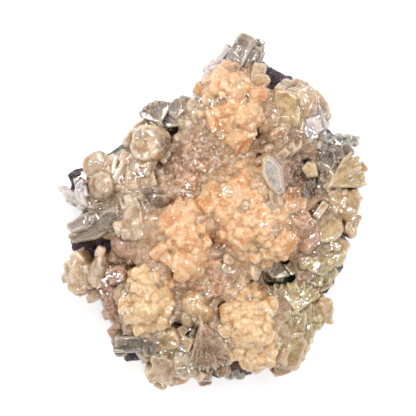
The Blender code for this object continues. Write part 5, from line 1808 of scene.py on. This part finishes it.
# %% Rounded tan crystals
grow("heulandite_tan_low", *TAN, [
    lump(-6.2, -27.6, 27.0, 7.6, 6.8, 30),
    lump(-3.0, -31.2, 26.5, 6.0, 5.6, 0),
    lump(-7.6, -32.2, 25.0, 4.6, 5.4, 0),
    block(-10.2, -30.2, 23.0, 3.2, 4.4, 20),
], **ROUND)

# %% Golden-brown crystals
grow("heulandite_gold_bottom", *TAN, [
    lump(-14.2, -38.4, 24.0, 6.8, 6.2, 20),
    block(-12.6, -42.2, 21.5, 5.8, 4.4, -16),
    slab(-8.6, -39.4, 23.0, 3.4, 3.8, -22, lean=16, toward=160),
    slab(-9.2, -35.4, 22.0, 2.8, 2.2, 30),
    block(-15.8, -36.2, 24.5, 3.0, 3.0, 30),
])

# %% [markdown]
# ## The bottom rim
#
# On the rim sit a cream pair of blocks, a long grey-brown block with steps, and a patch of green
# grains on bare rock. They are the lowest crystals of all, so they lean outwards the most.

# %% The cream pair
grow("heulandite_pair_bottom", *CREAM, [
    block(-15.4, -48.8, 18.0, 6.8, 8.6, -16, lean=28),
    block(-8.2, -46.6, 20.5, 6.6, 8.8, 10, lean=26),
    block(-11.2, -50.2, 14.5, 6.6, 4.6, 10),
    lump(-16.4, -52.2, 11.6, 4.8, 3.8, 10, deep=5),
    block(-5.0, -44.4, 20.0, 3.0, 5.0, -12),
])

# %% The grey-brown block
grow("heulandite_grey_block_bottom", *GREY, [
    block(-23.8, -40.4, 20.5, 11.2, 5.4, 4, lean=22, toward=-110),
    block(-28.6, -41.6, 15.5, 3.6, 4.8, 8, deep=7),
    block(-18.8, -40.6, 21.0, 4.2, 6.4, -6, lean=16),
    slab(-24.8, -37.0, 20.0, 4.4, 1.8, 10),
], **GLASSY)

# %% The green grains
grow("celadonite_druse_bottom", *GREEN, [
    lump(5.2, -50.0, 12.6, 3.6, 3.2, 0),
    lump(8.2, -50.0, 12.4, 2.8, 2.6, 0),
    slab(6.8, -49.0, 13.4, 2.2, 2.2, 20),
])

# %% [markdown]
# ## The lower left
#
# Cream and brown crystals with pointed tips hang over the far lower left rim, and a tan crust of
# rounded lumps lies between them and the left mound.

# %% The pointed crystals
grow("heulandite_points_far_left", *CREAM, [
    Crystal(-41.6, -18.4, 19.0, 7.2, 11.6, 4, "point", "hump", lean=26, deep=9),
    slab(-41.4, -13.9, 17.5, 2.8, 3.2, 42, deep=7),
    Crystal(-35.2, -17.2, 22.0, 6.6, 10.0, -6, "point", "hump", lean=18, deep=10),
    block(-44.0, -18.2, 14.5, 3.2, 5.8, 10, deep=7),
    block(-36.0, -24.6, 16.5, 4.8, 4.2, 25),
    block(-41.2, -22.4, 15.5, 5.0, 4.6, -12),
    block(-32.2, -21.6, 19.5, 3.4, 4.6, -14),
    slab(-45.2, -20.2, 11.5, 1.8, 2.2, 15, deep=4),
])

# %% The tan crust
grow("stellerite_crust_left", *PINK, [
    lump(-27.6, -10.6, 23.5, 6.4, 7.6, 40),
    lump(-23.4, -9.2, 25.0, 6.6, 5.4, 0),
    lump(-19.4, -8.8, 26.0, 4.6, 4.6, 0),
    lump(-23.6, -13.2, 24.5, 6.0, 5.0, -20),
    lump(-18.6, -13.2, 25.5, 4.8, 5.6, 20),
    block(-15.3, -16.6, 26.5, 4.2, 4.0, 35),
    block(-17.6, -10.6, 26.8, 3.0, 2.6, 10),
], **ROUND)

# %% [markdown]
# ## The orange and yellow mounds
#
# Five mounds of stellerite make the warm middle of the specimen. Each is a heap of heaps: rounded
# bunches as large as peas, made of blocky crystals of two millimetres. A displaced ball would
# give bumps of one kind everywhere; sown crystals overlap and crowd as real ones do, and their
# creases go deep enough to take the painted orange shade.

# %% The five mounds
MOUNDS = [
    ("stellerite_mound_centre", ORANGE, 39, []),
    ("stellerite_mound_left", ORANGE, 40, []),
    ("stellerite_mound_top", ORANGE, 41, [block(7.4, 20.8, 28.0, 4.2, 3.6, -8)]),
    ("stellerite_mound_lower_right", YELLOW, 42, []),
    ("stellerite_mound_lower_left", YELLOW, 43, []),
]
for node, stone, seed, more in MOUNDS:
    grow(node, *stone, mound_of(node, seed) + more, **MOUND)

# %% [markdown]
# ## The pink-brown crusts
#
# Thin crusts of very fine stellerite fill the saddle between the mounds, the slope at the lower
# left, and a strip below the centre. They are sown like the mounds, but finer and flatter, so
# that they read as a glittering skin. A few larger crystals stand on the slope.

# %% The saddle, the strip and the slope
ON_THE_SLOPE = [
    slab(-29.2, -18.8, 25.5, 3.6, 3.6, 10, lean=10, toward=150),
    slab(-31.6, -22.6, 22.0, 2.2, 3.2, 16),
    block(-28.4, -32.8, 20.0, 3.8, 3.8, 20),
    block(-30.0, -36.8, 14.5, 4.2, 3.4, 30, deep=6),
]
CRUSTS = [("stellerite_crust_upper", 47, []), ("stellerite_druse_low", 48, []),
          ("stellerite_crust_lower_left", 46, ON_THE_SLOPE)]
for node, seed, more in CRUSTS:
    grow(node, *PINK, crust_of(node, seed) + more, **CRUST)

# %% [markdown]
# ## A map of heights
#
# The druse in the gaps and the painted shade of the crevices both need to know how high the
# specimen is at each place. Rays from above would tell, but a million of them are slow. So every
# point of every piece drops its height into a cell of half a millimetre, and the highest one stays.
# Blurred by its waves, the map becomes a soft landscape.

# %% Heights over a grid
CELL = 0.5
MARGIN = 20
map_low = np.array(cad_low)[:2] / MM - MARGIN * CELL


def blurred(heights, width):
    """A soft copy of the height map, blurred by its waves."""
    rows = np.fft.fftfreq(heights.shape[0], CELL)[:, None]
    columns = np.fft.fftfreq(heights.shape[1], CELL)[None, :]
    keep = np.exp(-2.0 * (math.pi * width) ** 2 * (rows ** 2 + columns ** 2))
    return np.real(np.fft.ifft2(np.fft.fft2(heights) * keep))


def cells_of(points):
    cells = ((points[:, :2] - map_low) / CELL).astype(int)
    return cells[:, 0], cells[:, 1]


def height_map():
    """The highest point of all the grown pieces over each cell."""
    size = (np.array(cad_high)[:2] - np.array(cad_low)[:2]) / MM / CELL + 2 * MARGIN + 2
    heights = np.zeros(size.astype(int))
    for _, points in grown:
        np.maximum.at(heights, cells_of(points), points[:, 2])
    return heights


def height_over(heights, x, y):
    """The map's height at a place in the picture's millimetres."""
    return heights[cells_of(np.array([[x - MIDDLE.x, y - MIDDLE.y, 0.0]]))][0]


print("height over the centre mound:", round(height_over(height_map(), 11.5, 0.5), 1), "mm")

# %% [markdown]
# ## The druse between the crystals
#
# Between the large crystals there is no empty gap: a finer druse climbs up their sides, and only
# the steepest hollows show bare rock. So the bed is grown after all of them. The blurred map gives
# the level that snow would fill the gaps to, and a little below it the small crystals end.

# %% Which gaps are filled, and how high
FILL_BLUR = 3.2
FILL_DEPTH = (0.3, 1.5)
DEPTH_UNIT = 0.5
COVERED_BY = 2.5
LEAST_RISE = (0.2, 0.8)
RAGGED = 0.35
# Where the rock stays bare: place and radius
BARE_ROCK = [
    (24.0, 40.5, 6.5), (35.5, 23.5, 3.5), (-39.5, -10.5, 5.5), (-42.0, 11.0, 4.5),
    (-15.0, 22.0, 3.6), (38.5, -16.5, 3.6), (14.0, -21.5, 5.5), (-9.5, -34.5, 3.4),
    (6.5, -49.0, 5.0), (-24.5, -45.5, 4.0), (30.5, 10.5, 2.5), (-12.0, 24.5, 2.5),
]


def lies_bare(ground, dice):
    """Whether a seed has fallen on bare rock, whose border is ragged."""
    x, y = ground[0] + MIDDLE.x, ground[1] + MIDDLE.y
    bareness = max(1.0 - math.hypot(x - bx, y - by) / size for bx, by, size in BARE_ROCK)
    return bareness > dice.uniform(0.0, RAGGED)


def places_to_fill(spacing, dice):
    """Seeds in the gaps, each with its top and with the slope of the level there."""
    heights = height_map()
    level = blurred(heights, FILL_BLUR)
    slopes = np.stack(np.gradient(level, CELL), axis=2)
    for ground, _ in seeds_on("stellerite_bed", spacing, dice):
        if lies_bare(ground, dice):
            continue
        cell = tuple(axis[0] for axis in cells_of(ground[None, :]))
        top = level[cell] - DEPTH_UNIT * dice.uniform(*FILL_DEPTH)
        if heights[cell] <= top + COVERED_BY:
            yield ground, max(top, ground[2] + dice.uniform(*LEAST_RISE)), slopes[cell]


print("places of bare rock:", len(BARE_ROCK))

# %% [markdown]
# ## Growing the bed
#
# Each of these crystals stands square to the soft landscape, a little askew, and reaches down to
# the bed. Their film is the coarsest of all: at 0.4 mm the bed alone would have three hundred
# thousand triangles, and most of it lies in the shade of larger crystals.

# %% The bed
BED_UPRIGHT, BED_ASKEW, BED_TURN = 1.2, 0.28, 6.3
BED_STRETCH = (0.8, 1.3)
BED_DEEP, BED_ROOT, BED_FOOT = 1.6, 0.6, 1.15


def fill_gaps(spacing, least, most, seed):
    """Small crystals from the bed up to just below the level of their neighbours."""
    dice = np.random.default_rng(seed)
    crystals = []
    for ground, top, slope in places_to_fill(spacing, dice):
        way = Vector((-slope[0], -slope[1], BED_UPRIGHT)).normalized()
        way = (way + Vector(dice.normal(0.0, BED_ASKEW, 3))).normalized()
        axes = turned(way, dice.uniform(0.0, BED_TURN))
        wide = dice.uniform(least, most)
        long = wide * dice.uniform(*BED_STRETCH)
        outline = ("block", "knob", "round")[dice.integers(3)]
        end = ENDS[("flat", "dome")[dice.integers(2)]]
        deep = max(BED_DEEP * wide, top - ground[2] + BED_ROOT)
        crystals.append(bare_crystal(Vector((ground[0], ground[1], top)), axes, wide, long,
                                     outline, end, deep, BED_FOOT))
    return crystals


grow("stellerite_bed", "stellerite_brown", bed_druse, fill_gaps(1.35, 1.3, 2.6, 60), children=0,
     base=0.0, reach=3.0, soft=3, crisp=0.1, waves=0.06, film=0.70)

# %% [markdown]
# ## Small mirrors
#
# On the real stone, hundreds of crystal faces are as smooth as a mirror, and those that happen to
# face the right way reflect a whole softbox: they are the white sparks in the photograph. White
# dots of paint would shine from every side. A real face does it only when it points halfway
# between the lamp and the eye, so the sparks are small sharp crystals, and the table says where
# they stand and which lamp they have found.

# %% Where the sparks are
# Place in the picture's millimetres, width, length and which softbox
SPARKS = [
    (2.0, 25.0, 1.6, 1.2, 1), (0.4, 24.0, 1.2, 1.6, 0), (2.4, 22.4, 1.3, 1.0, 2),
    (-0.2, 18.6, 1.6, 1.2, 0), (0.8, 17.8, 1.0, 1.0, 1), (-8.2, 6.6, 1.6, 2.6, 0),
    (-6.8, 5.4, 1.2, 1.6, 1), (-9.6, 5.0, 1.0, 1.2, 2), (3.6, 6.2, 1.4, 1.6, 1),
    (5.0, 5.4, 1.6, 1.0, 0), (2.6, 5.6, 1.0, 1.0, 2), (14.6, -4.2, 2.6, 1.2, 3),
    (23.4, -7.0, 1.2, 1.6, 4), (23.0, -3.4, 1.2, 1.0, 3), (-30.0, -19.0, 2.6, 1.2, 0),
    (-31.0, -18.4, 1.0, 3.0, 0), (-28.2, -19.2, 1.0, 3.0, 1), (-32.2, -22.4, 1.8, 2.6, 0),
    (-26.0, -23.6, 1.2, 1.2, 1), (-27.2, -25.4, 1.4, 1.2, 0), (-25.4, -28.8, 1.6, 1.4, 1),
    (-27.0, -29.4, 1.2, 1.2, 2), (-2.0, -23.4, 1.8, 1.6, 1), (-0.8, -24.4, 1.0, 1.2, 0),
    (5.0, -33.4, 1.8, 1.4, 0), (17.4, -29.6, 2.2, 1.4, 3), (19.4, -39.6, 1.2, 2.6, 0),
    (20.0, -38.0, 1.6, 1.4, 1), (26.2, -24.6, 1.6, 3.0, 3), (27.4, -26.0, 1.4, 2.2, 3),
    (25.2, -27.2, 1.0, 1.6, 4), (36.4, -9.8, 1.6, 1.4, 4), (41.8, -3.6, 1.0, 2.2, 4),
    (29.0, 24.2, 3.0, 2.0, 3), (30.4, 22.6, 2.4, 2.6, 2), (27.8, 22.4, 1.6, 2.0, 3),
    (31.4, 28.4, 0.9, 3.4, 2), (26.6, 37.8, 2.0, 1.2, 2), (29.0, 36.8, 1.4, 1.0, 1),
    (-2.2, 33.0, 2.6, 1.4, 0), (-0.6, 32.0, 1.6, 1.6, 1), (2.0, 33.4, 1.2, 1.0, 1),
    (6.8, 49.2, 0.9, 3.2, 0), (5.6, 47.6, 0.8, 2.4, 1), (8.4, 48.4, 0.8, 2.6, 2),
    (8.0, 37.8, 1.2, 1.6, 1), (11.0, 34.2, 1.0, 1.2, 2), (5.4, 34.0, 1.0, 1.0, 0),
    (8.8, 33.0, 0.9, 1.1, 1), (-22.2, 11.6, 3.0, 1.4, 1), (-23.6, 10.2, 2.2, 1.2, 0),
    (-21.0, 12.4, 1.4, 1.0, 2), (-39.6, 8.6, 1.8, 3.6, 0), (-40.4, 5.6, 1.4, 2.6, 0),
    (-35.6, 15.0, 2.6, 0.8, 1), (-37.2, -2.2, 3.6, 0.9, 0), (-20.8, 24.4, 2.8, 0.6, 1),
    (-21.0, 23.2, 2.4, 0.6, 1), (-10.0, -39.6, 1.6, 2.4, 0), (-8.6, -40.2, 1.2, 1.4, 1),
    (-8.8, -47.0, 2.6, 1.2, 0), (-7.4, -46.0, 1.6, 1.4, 1), (-10.2, -47.6, 1.2, 1.2, 2),
    (36.6, 21.0, 2.2, 1.2, 2), (40.6, 22.2, 2.6, 1.2, 3), (38.0, 20.4, 1.2, 1.2, 2),
    (43.0, 10.4, 1.0, 3.4, 3), (41.0, 8.6, 0.9, 3.0, 3), (44.4, 7.6, 0.9, 2.4, 4),
    (30.4, 0.6, 0.9, 3.0, 3), (27.4, -14.4, 1.4, 1.2, 4), (13.6, -28.6, 1.4, 1.0, 1),
]
SLIVERS = 4
SLIVER_SPREAD = 0.8
SLIVER_WIDTHS, SLIVER_LENGTHS = (0.25, 0.6), (0.3, 0.8)
window_glass = crystal_finish("window_glass", seen(232, 206, 174), seen(246, 232, 214),
                              seen(190, 150, 110), seen(120, 90, 66), rough=(0.03, 0.06), patch=0.1,
                              glitter=0.0, flank=0.0, lustre=0.8)


def facing(lamp):
    """The lean of a face that mirrors a softbox upwards, a little off."""
    turn, height = SOFTBOXES[lamp][1:3]
    return {"lean": (90.0 - height) / 2.0 + chance.uniform(-1.5, 1.5),
            "toward": turn + chance.uniform(-4.0, 4.0)}


def slivers():
    """Each spark as a few slivers side by side: place, width, length and softbox."""
    spread = (-SLIVER_SPREAD, SLIVER_SPREAD)
    return [(x + chance.uniform(*spread) * wide, y + chance.uniform(*spread) * long,
             wide * chance.uniform(*SLIVER_WIDTHS), long * chance.uniform(*SLIVER_LENGTHS), lamp)
            for x, y, wide, long, lamp in SPARKS for _ in range(SLIVERS)]


print("sparks from the photograph:", len(SPARKS))

# %% [markdown]
# ## Setting the mirrors
#
# Besides the sparks that can be read from the photograph, tiny ones glint all over the upper side,
# so some are scattered at random, most of them high up. They stay separate and unwrapped, as a film
# would round off the very faces that must be flat.

# %% Crystals that catch a lamp
LOWEST_SPARK = 9.0
SCATTERED = 150
SCATTER_HALF = (46.0, 53.0)
SCATTER_SIZES, SCATTER_STRETCH = (0.3, 0.8), (0.7, 1.5)
SCATTER_FROM, SCATTER_SPREAD = 16.0, 6.0
SCATTER_LAMPS = 6
SPARK_SIZE = 0.75
SPARK_OUT, SPARK_DEEP, SPARK_FOOT = 0.12, 1.4, 0.8


def scattered(heights, count):
    """Small mirrors at random, most of them where the stone is high."""
    places = []
    while len(places) < count:
        x, y = (chance.uniform(-half, half) for half in SCATTER_HALF)
        size = chance.uniform(*SCATTER_SIZES)
        if height_over(heights, x, y) > SCATTER_FROM + SCATTER_SPREAD * chance.random():
            places.append((x, y, size, size * chance.uniform(*SCATTER_STRETCH),
                           chance.randrange(SCATTER_LAMPS)))
    return places


def set_sparks():
    """All the small mirrors, as one piece of separate sharp crystals."""
    heights = height_map()
    cage = Cage()
    for x, y, wide, long, lamp in slivers() + scattered(heights, SCATTERED):
        if height_over(heights, x, y) < LOWEST_SPARK:
            continue
        cage.add(Crystal(x, y, height_over(heights, x, y) + SPARK_OUT, wide * SPARK_SIZE,
                         long * SPARK_SIZE, chance.uniform(0.0, 180.0),
                         chance.choice(["knob", "block", "blade"]), "sharp",
                         deep=SPARK_DEEP + wide, foot=SPARK_FOOT, **facing(lamp)))
    mesh = bpy.data.meshes.new("sparks")
    mesh.from_pydata([tuple(np.array(point) * MM) for point in cage.points], [], cage.faces)
    points = read(mesh, "places") / MM
    write_facts(mesh, warmth=warmth_at(points), gloom=gloom_at(points) * 0.5, grain=points,
                tone=np.full(len(points), 0.6), rise=np.ones(len(points)),
                edge=np.zeros(len(points)))
    piece = set_piece("glinting_crystals", None, mesh, window_glass, "heulandite_pearl")
    grown.append((piece, points))
    print("small mirrors:", len(cage.crystals))


set_sparks()

# %% [markdown]
# ## How deep each point lies
#
# Last of the shapes' facts, taken from the map of the specimen's highest points. Blurred a
# little, it says how far a point lies below its neighbours, which makes it a crevice. Blurred
# widely, it says which points lie in a whole hollow. The finishes paint shade into both. Cycles
# could darken both with a shader node for ambient occlusion, but that is slow, and knows only
# dark, not orange.

# %% Crevices and hollows
FINE_BLUR, CREVICE_DEPTH = 1.3, 2.0
WIDE_BLUR, HOLLOW_DEPTH = 4.5, 7.0
heights = height_map()
near_heights = blurred(heights, FINE_BLUR)
wide_heights = blurred(heights, WIDE_BLUR)
for piece, points in grown:
    near, wide = near_heights[cells_of(points)], wide_heights[cells_of(points)]
    # hollow and cavern say where the finishes lay painted shade
    write_facts(piece.data, hollow=np.clip((near - points[:, 2]) / CREVICE_DEPTH, 0.0, 1.0),
                cavern=np.clip((wide - points[:, 2]) / HOLLOW_DEPTH, 0.0, 1.0))
print("height map:", heights.shape, "cells")

# %% [markdown]
# ## Closing
#
